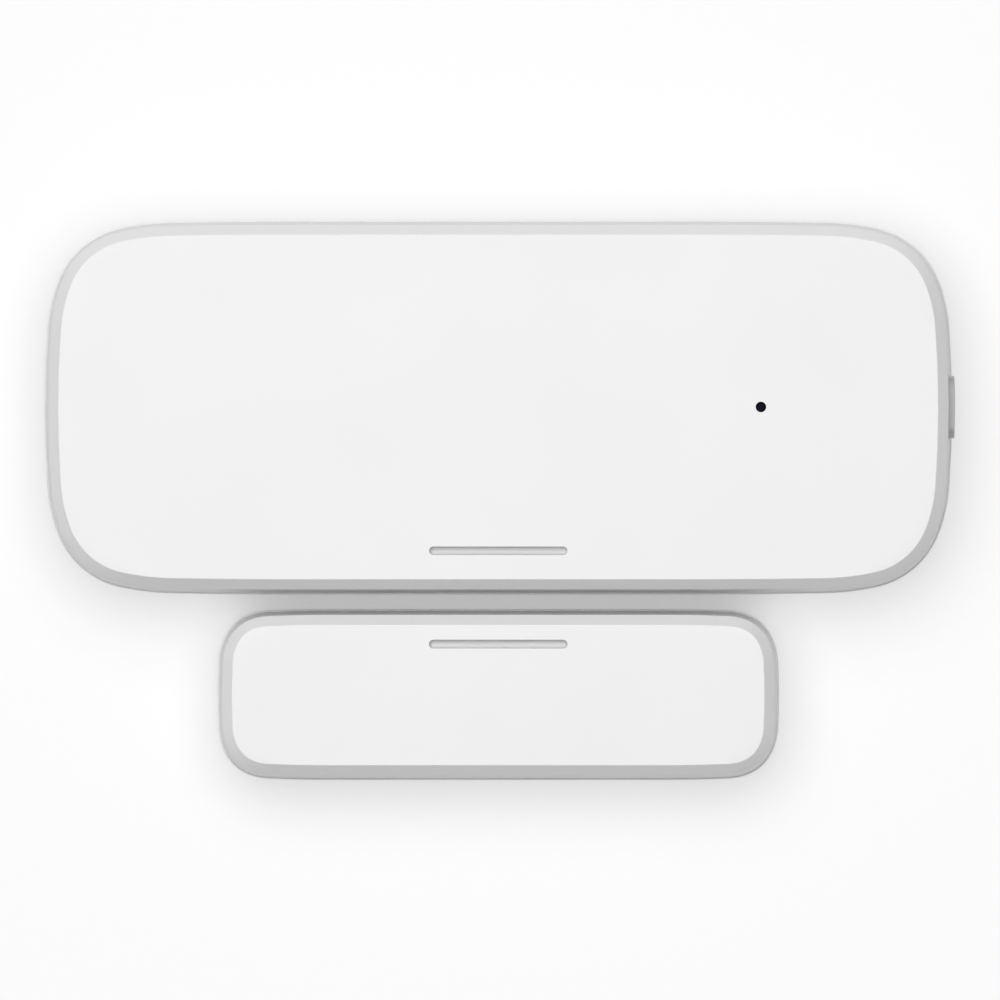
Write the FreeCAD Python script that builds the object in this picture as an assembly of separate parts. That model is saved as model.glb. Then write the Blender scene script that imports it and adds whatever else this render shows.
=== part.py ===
import FreeCAD, Part
import math
import os
from FreeCAD import Vector

# Door sensor and its magnet block, lying side by side on their adhesive pads with their fronts up.
# Millimetres. +X runs along the sensor to its button end, +Y away from the magnet block, +Z out of the fronts.
# The origin is the middle of the sensor, on the face of its adhesive pad.

# Housing sections, shared by the sensor and the magnet block
pad_thickness = 0.9
pad_recess = 0.5
plate_thickness = 1.8
plate_bevel = 0.5
seam_gap = 0.05
cover_step = 0.15
wall = 1.8
wall_draft = 0.35
front_thickness = 1.8
chamfer_width = 0.95
chamfer_depth = 1.35
lip_thickness = 1.0
lip_height = 2.0
lip_clearance = 0.15
sensor_end_tongue = 12.0
magnet_end_tongue = 5.4

# Bends of an end of the outline, from the long side round to the end, as radius and turn in degrees.
# A last arc, the crown of the end, closes each outline, with a radius that follows from the width.
sensor_flank = (569.0, 1.1)
sensor_shoulder = (25.3, 11.4)
sensor_corner = (8.17, 56.1)
sensor_cheek = (15.5, 17.3)
magnet_flank = (118.5, 2.6)
magnet_shoulder = (6.33, 14.4)
magnet_corner = (4.32, 47.1)
magnet_cheek = (6.01, 23.3)

# AAA cells and their bay
cell_diameter = 10.5
cell_length = 44.5
nub_diameter = 3.8
nub_length = 1.2
cell_gap = 0.4
cell_floor_gap = 0.3
cell_headroom = 0.5
cell_edge_room = 1.225
saddle_clearance = 0.15
saddle_thickness = 1.2
saddle_height = 2.6
rib_bite = 0.42
bay_wall = 1.2
bay_wall_height = 9.0
end_room = 6.25

# Battery contacts, stamped from strip
strip = 0.3
contact_width = 7.2
contact_below = 3.6
contact_above = 3.4
leaf_reach = 2.8
leaf_width = 4.4
leaf_sweep = 140.0
dimple_height = 0.5
dimple_radius = 2.1
dimple_top_radius = 1.4
touch_gap = 0.05
post_size = 1.0
slot_bite = 0.4
slot_clearance = 0.05
tail_width = 1.6
tail_reach = 2.2
tail_slot = 2.4

# Circuit board
board_thickness = 1.2
board_lift = 2.3
board_gap = 0.3
board_clearance = 0.4
arm_width = 6.75
arm_gap = 0.375
arm_reach = 16.0
access_radius = 3.8
access_from_edge = 6.875
screw_radius = 0.85
screw_head_radius = 1.6
screw_head_height = 1.1
screw_length = 3.6
screw_clearance = 0.1
screw_gap = 0.75
screw_from_end = 3.2
screw_from_arm_end = 2.4
end_screw_y = 8.6
boss_radius = 2.1
rest_size = (3.0, 1.2)
end_rest_from_end = 2.2
end_rest_y = -8.8
top_rest_from_edge = 2.0
top_rest_y = 12.8

# Reed switch, set across the board's arm behind the alignment groove
reed_length = 14.0
reed_radius = 1.1
reed_gap = 0.2
lead_width = 0.8
lead_thickness = 0.2
lead_reach = 1.4
lead_foot = 1.6

# Radio module
module_length = 18.0
module_width = 10.5
module_thickness = 0.8
module_from_edge = 4.3
module_from_side = 0.9
can_length = 11.0
can_width = 8.6
can_height = 1.8
can_margin = 0.9
can_bevel = 0.3
antenna_turns = 4
antenna_track = 0.5
antenna_pitch = 2.0
antenna_depth = 4.2
antenna_thickness = 0.1

# Parts on the board
chip_size = 5.0
chip_height = 0.9
chip_bevel = 0.1
chip_from_edge = 7.4
chip_y = 11.1
crystal_radius = 1.0
crystal_length = 6.0
crystal_from_edge = 12.9
crystal_y = 10.6
capacitor_radius = 2.5
capacitor_height = 5.4
capacitor_base = 5.3
capacitor_base_height = 0.7
capacitor_bevel = 0.3
capacitor_from_edge = 18.1
capacitor_y = 9.6
led_length = 2.0
led_width = 1.25
led_height = 0.8
small_part = (1.6, 0.8, 0.6)

# Status light
light_from_edge = 11.75
light_radius = 0.5
light_recess = 0.5
light_clearance = 0.05
pipe_radius = 1.3
pipe_led_gap = 0.6
boss_clearance = 0.1
boss_wall = 1.0
boss_drop = 4.3

# Side button, and the switch that it presses
button_width = 5.9
button_height = 3.2
button_corner = 1.0
button_proud = 0.53
button_crown_radius = 60.0
button_clearance = 0.1
button_z = 8.0
button_travel = 0.3
flange_width = 8.3
flange_height = 3.8
flange_thickness = 0.8
flange_gap = 0.15
board_to_flange = 0.45
rail_thickness = 1.0
rail_clearance = 0.1
rail_hook = 0.4
rail_hook_thickness = 0.4
switch_width = 6.0
switch_depth = 3.3
switch_top = 1.9
switch_setback = 0.5
switch_frame = 0.25
plunger_radius = 1.0
plunger_clearance = 0.1
plunger_inside = 1.0

# Alignment grooves in the two fronts
groove_length = 13.1
groove_radius = 0.4
groove_depth = 0.7
sensor_groove_from_side = 4.155
magnet_groove_from_side = 3.27

# Screw holes in the back plates, and the adhesive pads between them
mount_hole_radius = 1.75
magnet_hole_radius = 1.7
sensor_pad_length = 33.0
sensor_pad_width = 26.0
magnet_pad_length = 30.0
magnet_pad_width = 9.6
pad_corner = 2.0
pad_clearance = 0.1

# Magnet block
unit_gap = 1.425
bar_length = 30.0
bar_width = 7.0
bar_height = 5.0
bar_bevel = 0.4
bar_seat = 1.4
seat_places = (-0.4, 0, 0.4)
rib_places = (-0.3, 0.3)
bar_headroom = 2.9
bar_clearance = 0.1
cradle_thickness = 0.9
cradle_height = 3.0
cradle_room = 1.3
hole_from_bar = 5.5
hole_from_end = 6.18

# How far what stands on a wall reaches into it, and how far a cutter overshoots the face that it opens
root = 0.5
past = 1.0

# Heights
plate_z = pad_thickness - pad_recess
parting_z = plate_z + plate_thickness
seam_z = parting_z + seam_gap
cell_radius = cell_diameter / 2
cell_z = parting_z + cell_floor_gap + cell_radius
sensor_top = cell_z + cell_radius + cell_headroom + front_thickness
magnet_top = parting_z + bar_seat + bar_height + bar_headroom + front_thickness
ceiling_z = sensor_top - front_thickness
magnet_ceiling_z = magnet_top - front_thickness
board_z = parting_z + board_lift
board_top = board_z + board_thickness
bay_wall_z = parting_z + bay_wall_height

# Insets from a housing's outline
inner_inset = cover_step + wall
ceiling_inset = inner_inset + wall_draft
lip_inset = inner_inset + lip_clearance
lip_inner = lip_inset + lip_thickness
board_inset = ceiling_inset + board_clearance

# Sensor width, built up across it from the cells and the board's arm: 35.55
side_room = lip_inner + cell_edge_room
sensor_width = side_room + 2 * cell_diameter + cell_gap + arm_gap + arm_width + board_inset
upper_cell_y = sensor_width / 2 - side_room - cell_radius
lower_cell_y = upper_cell_y - cell_diameter - cell_gap
valley_y = (upper_cell_y + lower_cell_y) / 2
arm_top_y = lower_cell_y - cell_radius - arm_gap
arm_y = arm_top_y - arm_width / 2

# Sensor length, built up along it from the cell bay and the board: 86.25
bay_length = 2 * strip + dimple_height + cell_length + leaf_reach + 2 * touch_gap
screw_from_edge = capacitor_from_edge + capacitor_base / 2 + screw_gap + screw_head_radius
board_length = screw_from_edge + screw_from_end
right_room = ceiling_inset + flange_gap + flange_thickness + board_to_flange
sensor_length = end_room + bay_length + bay_wall + board_gap + board_length + right_room
bay_left = end_room - sensor_length / 2
bay_right = bay_left + bay_length
board_left = bay_right + bay_wall + board_gap
board_right = board_left + board_length
mount_hole_x = board_left + access_from_edge
light_x = board_left + light_from_edge

# Button and switch, from the inner face of the end wall inwards
flange_outer_x = sensor_length / 2 - ceiling_inset - flange_gap
flange_inner_x = flange_outer_x - flange_thickness
switch_front_x = board_right - switch_setback
plunger_tip_x = flange_inner_x - touch_gap

# Magnet block, built up from its bar: 53.36 long and 16.2 wide
magnet_width = bar_width + 2 * (bar_clearance + cradle_thickness + cradle_room + ceiling_inset)
magnet_hole_x = bar_length / 2 + hole_from_bar
magnet_length = 2 * (magnet_hole_x + hole_from_end)
magnet_y = -(sensor_width + magnet_width) / 2 - unit_gap
bar_z = parting_z + bar_seat

# Board screws, and the rests that hold the board up between them
arm_screw = (screw_from_arm_end - arm_reach, arm_y)
end_screw = (board_left + screw_from_edge, end_screw_y)
end_rest = (board_right - end_rest_from_end, end_rest_y)
top_rest = (board_left + top_rest_from_edge, top_rest_y)
saddle_places = (0.17, 0.78)
small_parts = ((3.5, 13.4), (3.5, 11.4), (12.9, 5.6), (16.4, 4.0), (9.2, 7.4), (2.6, -6.4), (2.6, -8.6))


# Basic solids
def box(x, y, z):
    """A box between the two values of each pair."""
    return Part.makeBox(x[1] - x[0], y[1] - y[0], z[1] - z[0], Vector(x[0], y[0], z[0]))


def around(middle, size):
    """The two ends of a length that is centred on a place."""
    return (middle - size / 2, middle + size / 2)


def post(x, y, radius, z):
    """A round post between two heights."""
    return Part.makeCylinder(radius, z[1] - z[0], Vector(x, y, z[0]))


def add_line(edges, start, end):
    """Add the straight edge between two points, unless they are the same point."""
    if start.distanceToPoint(end) > 1e-6:
        edges.append(Part.LineSegment(start, end).toShape())


def rounded_wire(size, corner, place):
    """A rounded rectangle, where place turns its two flat coordinates into a point."""
    half_u = size[0] / 2
    half_v = size[1] / 2
    edges = []
    last = None
    first = None
    for quarter in range(4):
        turn = math.radians(90 * quarter)
        centre_u = (half_u - corner) * (1 if quarter in (0, 3) else -1)
        centre_v = (half_v - corner) * (1 if quarter in (0, 1) else -1)
        points = []
        for part in (0, 0.5, 1):
            angle = turn + part * math.pi / 2
            points.append(place(centre_u + corner * math.cos(angle), centre_v + corner * math.sin(angle)))
        if last is None:
            first = points[0]
        else:
            add_line(edges, last, points[0])
        edges.append(Part.Arc(*points).toShape())
        last = points[2]
    add_line(edges, last, first)
    return Part.Wire(edges)


def rounded_slab(x, y, z, corner):
    """A flat slab with rounded corners, between the two values of each pair."""
    middle_x = (x[0] + x[1]) / 2
    middle_y = (y[0] + y[1]) / 2
    wire = rounded_wire((x[1] - x[0], y[1] - y[0]), corner, lambda u, v: Vector(middle_x + u, middle_y + v, z[0]))
    return Part.Face(wire).extrude(Vector(0, 0, z[1] - z[0]))


# Housing outline
def outline_arcs(length, width, bends):
    """The arcs of the outline's first quarter: centre, radius and the two angles, from +Y towards +X."""
    angle = 0.0
    run = 0.0
    drop = 0.0
    steps = []
    for radius, turn in bends:
        end = angle + math.radians(turn)
        steps.append((radius, angle, end, run, drop))
        run += radius * (math.sin(end) - math.sin(angle))
        drop += radius * (math.cos(angle) - math.cos(end))
        angle = end
    crown = (width / 2 - drop) / math.cos(angle)
    steps.append((crown, angle, math.pi / 2, run, drop))
    run += crown * (1 - math.sin(angle))
    start = length / 2 - run
    arcs = []
    for radius, begin, end, along, down in steps:
        centre_x = start + along - radius * math.sin(begin)
        centre_y = width / 2 - down - radius * math.cos(begin)
        arcs.append((centre_x, centre_y, radius, begin, end))
    return arcs


def outline_wire(arcs, inset, z, middle_y):
    """The closed outline at a height, moved inwards by the inset."""

    def point(arc, angle, side_x, side_y):
        reach = arc[2] - inset
        x = arc[0] + reach * math.sin(angle)
        y = arc[1] + reach * math.cos(angle)
        return Vector(side_x * x, middle_y + side_y * y, z)

    edges = []
    last = None
    first = None
    for side_x, side_y in ((1, 1), (1, -1), (-1, -1), (-1, 1)):
        outwards = side_x == side_y
        for arc in arcs if outwards else reversed(arcs):
            angles = (arc[3], arc[4]) if outwards else (arc[4], arc[3])
            begin = point(arc, angles[0], side_x, side_y)
            middle = point(arc, sum(angles) / 2, side_x, side_y)
            end = point(arc, angles[1], side_x, side_y)
            if first is None:
                first = begin
            elif outwards and arc is arcs[0]:
                add_line(edges, last, begin)
            edges.append(Part.Arc(begin, middle, end).toShape())
            last = end
    add_line(edges, last, first)
    return Part.Wire(edges)


def outline_block(arcs, levels, middle_y=0.0):
    """A solid through the outline at each level, given as inset and height."""
    wires = [outline_wire(arcs, inset, z, middle_y) for inset, z in levels]
    return Part.makeLoft(wires, True, True)


sensor_outline = outline_arcs(
    sensor_length, sensor_width, (sensor_flank, sensor_shoulder, sensor_corner, sensor_cheek)
)
magnet_outline = outline_arcs(
    magnet_length, magnet_width, (magnet_flank, magnet_shoulder, magnet_corner, magnet_cheek)
)


# Shells that both units share
def plate_with_tongues(arcs, end_tongue, middle_y):
    """A back plate with a bevelled back edge and four tongues that enter the cover, clear of its corners."""
    plate = outline_block(
        arcs, ((plate_bevel, plate_z), (0, plate_z + plate_bevel), (0, parting_z)), middle_y
    )
    height = (parting_z - root, parting_z + lip_height)
    lip = outline_block(arcs, ((lip_inset, height[0]), (lip_inset, height[1])), middle_y)
    hollow = outline_block(arcs, ((lip_inner, height[0] - past), (lip_inner, height[1] + past)), middle_y)
    tall = (height[0] - past, height[1] + past)
    sides = box(around(0, 2 * arcs[0][0]), around(middle_y, sensor_width), tall)
    ends = box(around(0, sensor_length), around(middle_y, end_tongue), tall)
    return plate.fuse(lip.cut(hollow).common(sides.fuse(ends)))


def cover_shell(arcs, top_z, middle_y):
    """An open-backed cover with drafted sides and a chamfered front."""
    side_top = cover_step + wall_draft
    outer = outline_block(
        arcs,
        ((cover_step, seam_z), (side_top, top_z - chamfer_depth), (side_top + chamfer_width, top_z)),
        middle_y,
    )
    hollow = outline_block(
        arcs, ((inner_inset, seam_z - past), (inner_inset, top_z - front_thickness)), middle_y
    )
    return outer.cut(hollow)


def groove_cutter(y, top_z):
    """The cutter of an alignment groove, with a round bottom and round ends."""
    x = around(0, groove_length)
    across = around(y, 2 * groove_radius)
    z = top_z - groove_depth + groove_radius
    bar = Part.makeCylinder(groove_radius, groove_length, Vector(x[0], y, z), Vector(1, 0, 0))
    ends = rounded_slab(x, across, (top_z - groove_depth, top_z + past), groove_radius)
    return bar.fuse(box(x, across, (z, top_z + past))).common(ends)


def adhesive_pad(length, width, middle_y):
    """A foam pad with rounded corners, standing out of its recess."""
    return rounded_slab(around(0, length), around(middle_y, width), (0, pad_thickness), pad_corner)


def pad_pocket(length, width, middle_y):
    """The recess that takes an adhesive pad."""
    room = 2 * pad_clearance
    return rounded_slab(
        around(0, length + room),
        around(middle_y, width + room),
        (plate_z - past, pad_thickness),
        pad_corner + pad_clearance,
    )


def screw_hole(x, y, radius):
    """A plain hole through a back plate."""
    return post(x, y, radius, (plate_z - past, parting_z + past))


# Sensor, back half
def bay_walls():
    """The two end walls of the cell bay, with slotted posts that hold the contacts."""
    low = parting_z - root
    height = (low, bay_wall_z)
    contact_low = lower_cell_y - contact_width / 2
    contact_high = upper_cell_y + contact_width / 2
    y = (contact_low - post_size, contact_high + post_size)
    left = box((bay_left - bay_wall, bay_left), y, height)
    right = box((bay_right, bay_right + bay_wall), y, height)
    reach = strip + 2 * slot_clearance + post_size
    posts_left = [
        box((bay_left, bay_left + reach), (y[0], contact_low + slot_bite), height),
        box((bay_left, bay_left + reach), (contact_high - slot_bite, y[1]), height),
    ]
    middle = (lower_cell_y + contact_width / 2 - slot_bite, upper_cell_y - contact_width / 2 + slot_bite)
    posts_right = [
        box((bay_right - reach, bay_right), (y[0], contact_low + slot_bite), height),
        box((bay_right - reach, bay_right), middle, height),
        box((bay_right - reach, bay_right), (contact_high - slot_bite, y[1]), height),
    ]
    floor = cell_z - contact_below - slot_clearance
    top = bay_wall_z + past
    slot = strip + 2 * slot_clearance
    room = contact_width / 2 + slot_clearance
    bridge_slot = box((bay_left, bay_left + slot), (lower_cell_y - room, upper_cell_y + room), (floor, top))
    walls = left.fuse([right] + posts_left + posts_right).cut(bridge_slot)
    for y in (lower_cell_y, upper_cell_y):
        walls = walls.cut(box((bay_right - slot, bay_right), around(y, 2 * room), (floor, top)))
        tail = (board_top - slot_clearance, top)
        walls = walls.cut(box((bay_right - past, bay_right + bay_wall + past), around(y, tail_slot), tail))
    return walls


def cell_space(clearance):
    """The two cylinders that the cells take up, with room round them."""
    x = (bay_left + strip, bay_right - strip)
    lower = Part.makeCylinder(
        cell_radius + clearance, x[1] - x[0], Vector(x[0], lower_cell_y, cell_z), Vector(1, 0, 0)
    )
    upper = Part.makeCylinder(
        cell_radius + clearance, x[1] - x[0], Vector(x[0], upper_cell_y, cell_z), Vector(1, 0, 0)
    )
    return lower.fuse(upper)


def saddles():
    """Ribs under the cells, hollowed to their round."""
    y = (lower_cell_y - cell_radius, upper_cell_y + cell_radius)
    ribs = []
    for share in saddle_places:
        x = around(bay_left + share * bay_length, saddle_thickness)
        ribs.append(box(x, y, (parting_z - root, parting_z + saddle_height)))
    return Part.makeCompound(ribs).cut(cell_space(saddle_clearance))


def board_posts():
    """Two screw bosses and two rests under the circuit board."""
    low = parting_z - root
    posts = []
    for x, y in (arm_screw, end_screw):
        boss = post(x, y, boss_radius, (low, board_z))
        posts.append(boss.cut(post(x, y, screw_radius + screw_clearance, (parting_z, board_z + past))))
    for x, y in (end_rest, top_rest):
        posts.append(box(around(x, rest_size[0]), around(y, rest_size[1]), (low, board_z)))
    return posts


def back_cover():
    """The sensor's back plate with its lip, cell bay and board posts."""
    shell = plate_with_tongues(sensor_outline, sensor_end_tongue, 0)
    shell = shell.fuse([bay_walls(), saddles()] + board_posts())
    shell = shell.cut(pad_pocket(sensor_pad_length, sensor_pad_width, 0))
    for x in (-mount_hole_x, mount_hole_x):
        shell = shell.cut(screw_hole(x, valley_y, mount_hole_radius))
    return shell.removeSplitter()


# Cells and contacts
def cell(y, nub_side):
    """One AAA cell along X, with its nub at the side given as 1 or -1."""
    can_end = cell_length - nub_length
    nub = nub_diameter / 2
    profile = [
        (0, 0),
        (0, cell_radius),
        (can_end, cell_radius),
        (can_end, nub),
        (cell_length, nub),
        (cell_length, 0),
    ]
    points = [Vector(x, r, 0) for x, r in profile]
    face = Part.Face(Part.makePolygon(points + points[:1]))
    solid = face.revolve(Vector(0, 0, 0), Vector(1, 0, 0), 360)
    flat_end = strip + leaf_reach + touch_gap
    if nub_side > 0:
        solid.translate(Vector(bay_left + flat_end, y, cell_z))
    else:
        solid.rotate(Vector(0, 0, 0), Vector(0, 0, 1), 180)
        solid.translate(Vector(bay_right - flat_end, y, cell_z))
    return solid


def contact_plate(wall_x, side, low_y, high_y):
    """The flat of a contact, on the bay wall at wall_x and on the side of it that faces the cells."""
    x = sorted((wall_x, wall_x + side * strip))
    y = (low_y - contact_width / 2, high_y + contact_width / 2)
    return box(x, y, (cell_z - contact_below, cell_z + contact_above))


def leaf(wall_x, side, y):
    """The bowed leaf that presses on a cell's flat end, with its tip free."""
    centre = Vector(wall_x + side * strip / 2, y - leaf_width / 2, cell_z)
    ring = []
    for radius in (leaf_reach + strip / 2, leaf_reach - strip / 2):
        points = []
        for share in (0, 0.5, 1):
            angle = math.radians(-90 + share * leaf_sweep)
            points.append(centre + Vector(side * radius * math.cos(angle), 0, radius * math.sin(angle)))
        ring.append(points)
    outer, inner = ring
    edges = [
        Part.Arc(*outer).toShape(),
        Part.LineSegment(outer[2], inner[2]).toShape(),
        Part.Arc(*inner).toShape(),
        Part.LineSegment(inner[0], outer[0]).toShape(),
    ]
    return Part.Face(Part.Wire(Part.__sortEdges__(edges))).extrude(Vector(0, leaf_width, 0))


def dimple(wall_x, side, y):
    """The raised round that meets a cell's nub."""
    base = Vector(wall_x + side * strip, y, cell_z)
    return Part.makeCone(dimple_radius, dimple_top_radius, dimple_height, base, Vector(side, 0, 0))


def tail(y):
    """The strip that runs from a contact through the bay wall onto the board."""
    return box((bay_right - strip, board_left + tail_reach), around(y, tail_width), (board_top, board_top + strip))


def contact_bridge():
    """The series contact at the blind end: a leaf for one cell and a dimple for the other."""
    plate = contact_plate(bay_left, 1, lower_cell_y, upper_cell_y)
    parts = [leaf(bay_left, 1, upper_cell_y), dimple(bay_left, 1, lower_cell_y)]
    return plate.fuse(parts).removeSplitter()


def contact_positive():
    """The plate that meets the upper cell's nub, with its tail."""
    plate = contact_plate(bay_right, -1, upper_cell_y, upper_cell_y)
    return plate.fuse([dimple(bay_right, -1, upper_cell_y), tail(upper_cell_y)]).removeSplitter()


def contact_negative():
    """The leaf that meets the lower cell's flat end, with its tail."""
    plate = contact_plate(bay_right, -1, lower_cell_y, lower_cell_y)
    return plate.fuse([leaf(bay_right, -1, lower_cell_y), tail(lower_cell_y)]).removeSplitter()


# Circuit board and what it carries
def circuit_board():
    """The L-shaped board: a block behind the light and button, and an arm beside the cells."""
    half = sensor_width / 2
    edge = outline_block(sensor_outline, ((board_inset, board_z), (board_inset, board_top)))
    height = (board_z - past, board_top + past)
    block = box((board_left, board_right), (-half, half), height)
    arm = box((-arm_reach, board_left + past), (-half, arm_top_y), height)
    board = edge.common(block.fuse(arm))
    cuts = [post(mount_hole_x, valley_y, access_radius, height)]
    for x, y in (arm_screw, end_screw):
        cuts.append(post(x, y, screw_radius + screw_clearance, height))
    return board.cut(cuts).removeSplitter()


def board_screws():
    """Two pan-head screws that hold the board to its bosses."""
    solids = []
    for x, y in (arm_screw, end_screw):
        head = post(x, y, screw_head_radius, (board_top, board_top + screw_head_height))
        shank = post(x, y, screw_radius, (board_top - screw_length + screw_head_height, board_top))
        solids.append(head.fuse(shank).removeSplitter())
    return Part.makeCompound(solids)


def reed_z():
    """Height of the reed switch's axis."""
    return board_top + reed_gap + reed_radius


def reed_switch_glass():
    """The sealed glass tube, drawn in at both ends."""
    half = reed_length / 2
    profile = [
        (-half, 0),
        (-half, reed_radius / 2),
        (reed_radius - half, reed_radius),
        (half - reed_radius, reed_radius),
        (half, reed_radius / 2),
        (half, 0),
    ]
    points = [Vector(x, arm_y, reed_z() + r) for x, r in profile]
    face = Part.Face(Part.makePolygon(points + points[:1]))
    return face.revolve(Vector(0, arm_y, reed_z()), Vector(1, 0, 0), 360)


def reed_switch_leads():
    """The two flat leads, bent down to feet on the board."""
    y = around(arm_y, lead_width)
    solids = []
    for side in (-1, 1):
        start = side * reed_length / 2
        bend = start + side * lead_reach
        toe = bend + side * lead_foot
        arm_z = around(reed_z(), lead_thickness)
        arm = box(sorted((start, bend)), y, arm_z)
        riser = box(sorted((bend - side * lead_thickness, bend)), y, (board_top, arm_z[1]))
        foot = box(sorted((bend - side * lead_thickness, toe)), y, (board_top, board_top + lead_thickness))
        solids.append(arm.fuse([riser, foot]).removeSplitter())
    return Part.makeCompound(solids)


def module_corner():
    """The radio module's corner that is nearest the cells and the magnet block."""
    return (board_left + module_from_edge, module_from_side + board_inset - sensor_width / 2)


def radio_module():
    """The radio's own small board, soldered flat on the main one."""
    x, y = module_corner()
    height = (board_top, board_top + module_thickness)
    return box((x, x + module_length), (y, y + module_width), height)


def radio_shield_can():
    """The pressed steel can over the radio."""
    x, y = module_corner()
    low = board_top + module_thickness
    margin_y = (module_width - can_width) / 2
    span_x = (x + can_margin, x + can_margin + can_length)
    span_y = (y + margin_y, y + margin_y + can_width)
    can = box(span_x, span_y, (low, low + can_height))
    top = [edge for edge in can.Edges if edge.BoundBox.ZMin > low + can_height / 2]
    return can.makeChamfer(can_bevel, top)


def module_antenna():
    """The folded copper track at the free end of the module."""
    x, y = module_corner()
    low = board_top + module_thickness
    height = (low, low + antenna_thickness)
    right = x + module_length - antenna_track
    left = right - antenna_depth
    start_y = y + (module_width - antenna_turns * antenna_pitch) / 2
    tracks = []
    for turn in range(antenna_turns + 1):
        track_y = start_y + turn * antenna_pitch
        tracks.append(box((left, right), (track_y, track_y + antenna_track), height))
        if turn < antenna_turns:
            end = right if turn % 2 else left + antenna_track
            link = (track_y, track_y + antenna_pitch + antenna_track)
            tracks.append(box((end - antenna_track, end), link, height))
    return tracks[0].fuse(tracks[1:]).removeSplitter()


def controller_chip():
    """A flat square chip with a bevelled top."""
    x = around(board_left + chip_from_edge, chip_size)
    chip = box(x, around(chip_y, chip_size), (board_top, board_top + chip_height))
    top = [edge for edge in chip.Edges if edge.BoundBox.ZMin > board_top + chip_height / 2]
    return chip.makeChamfer(chip_bevel, top)


def clock_crystal():
    """A small round can lying on the board."""
    start = Vector(board_left + crystal_from_edge, crystal_y - crystal_length / 2, board_top + crystal_radius)
    return Part.makeCylinder(crystal_radius, crystal_length, start, Vector(0, 1, 0))


def buffer_capacitor():
    """An upright capacitor can on its square base."""
    x = board_left + capacitor_from_edge
    base_top = board_top + capacitor_base_height
    base = box(around(x, capacitor_base), around(capacitor_y, capacitor_base), (board_top, base_top))
    can = post(x, capacitor_y, capacitor_radius, (board_top, board_top + capacitor_height))
    top = [edge for edge in can.Edges if edge.BoundBox.ZMin > base_top]
    can = can.makeChamfer(capacitor_bevel, top)
    return base.fuse(can).removeSplitter()


def status_led():
    """The light on the board, under its pipe."""
    return box(around(light_x, led_length), around(0, led_width), (board_top, board_top + led_height))


def chip_parts():
    """Small resistors and capacitors, each a solid of its own."""
    length, width, height = small_part
    solids = []
    for from_edge, y in small_parts:
        x = board_left + from_edge
        solids.append(box(around(x, length), around(y, width), (board_top, board_top + height)))
    return Part.makeCompound(solids)


# Tact switch
def tact_switch_body():
    """The moulded switch body with the bore that its plunger slides in."""
    front = switch_front_x - switch_frame
    back = switch_front_x - switch_depth
    body = box((back, front), around(0, switch_width), (board_top, button_z + switch_top))
    depth = plunger_inside + button_travel + touch_gap
    bore = Part.makeCylinder(
        plunger_radius + plunger_clearance, depth + past, Vector(front - depth, 0, button_z), Vector(1, 0, 0)
    )
    return body.cut(bore)


def tact_switch_frame():
    """The steel cap that closes the switch's front and top and grips its sides."""
    half = switch_width / 2
    front = (switch_front_x - switch_frame, switch_front_x)
    top = button_z + switch_top
    face = box(front, (-half, half), (board_top, top))
    lid = box((switch_front_x - switch_depth, front[1]), (-half, half), (top, top + switch_frame))
    sides = []
    for low_y in (-half - switch_frame, half):
        ear_x = around(switch_front_x - switch_depth / 2, switch_depth / 2)
        sides.append(box(ear_x, (low_y, low_y + switch_frame), (board_top, top + switch_frame)))
    hole = Part.makeCylinder(
        plunger_radius + plunger_clearance, 2 * past, Vector(front[0] - past, 0, button_z), Vector(1, 0, 0)
    )
    return face.fuse([lid] + sides).cut(hole).removeSplitter()


def switch_plunger():
    """The switch's own plunger, which the side button pushes."""
    start = switch_front_x - switch_frame - plunger_inside
    return Part.makeCylinder(plunger_radius, plunger_tip_x - start, Vector(start, 0, button_z), Vector(1, 0, 0))


# Sensor, front half
def button_profile(width, height, corner, x):
    """A rounded rectangle across X."""
    return rounded_wire((width, height), corner, lambda u, v: Vector(x, u, button_z + v))


def side_button():
    """The push button: a crowned cap on a flange that can't pass the wall."""
    outer_x = sensor_length / 2 - cover_step - wall_draft / 2 + button_proud
    flange = Part.Face(button_profile(flange_width, flange_height, button_corner, flange_inner_x))
    flange = flange.extrude(Vector(flange_thickness, 0, 0))
    cap = Part.Face(button_profile(button_width, button_height, button_corner, flange_inner_x))
    cap = cap.extrude(Vector(outer_x - flange_inner_x, 0, 0))
    crown = Part.makeCylinder(
        button_crown_radius, button_height * 2, Vector(outer_x - button_crown_radius, 0, button_z - button_height)
    )
    return flange.fuse(cap.common(crown)).removeSplitter()


def button_slot():
    """The opening in the end wall round the button."""
    size = (button_width + 2 * button_clearance, button_height + 2 * button_clearance)
    wire = button_profile(size[0], size[1], button_corner + button_clearance, flange_outer_x - past)
    return Part.Face(wire).extrude(Vector(right_room + 2 * past, 0, 0))


def button_rails():
    """Two rails with hooks that guide the button's flange and keep it in the cover."""
    low = button_z - flange_height / 2
    height = (low, ceiling_z + root)
    hook_front = flange_inner_x - button_travel - rail_clearance
    inner = flange_width / 2 + rail_clearance
    end = sensor_length / 2 - ceiling_inset + wall / 2
    rails = []
    for side in (-1, 1):
        rail_y = sorted((side * inner, side * (inner + rail_thickness)))
        rails.append(box((hook_front - rail_hook_thickness, end), rail_y, height))
        hook_y = sorted((side * (inner - rail_clearance - rail_hook), side * inner))
        rails.append(box((hook_front - rail_hook_thickness, hook_front), hook_y, height))
    return rails


def light_boss():
    """The tube under the front that holds the light pipe."""
    radius = pipe_radius + boss_clearance + boss_wall
    return post(light_x, 0, radius, (ceiling_z - boss_drop, ceiling_z + root))


def cell_rib():
    """The rib between the two cells that stops them from shifting."""
    x = (bay_left + bay_length * saddle_places[0], bay_left + bay_length * saddle_places[1])
    depth = cell_headroom + cell_radius * rib_bite
    return box(x, around(valley_y, saddle_thickness), (ceiling_z - depth, ceiling_z + root))


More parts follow.
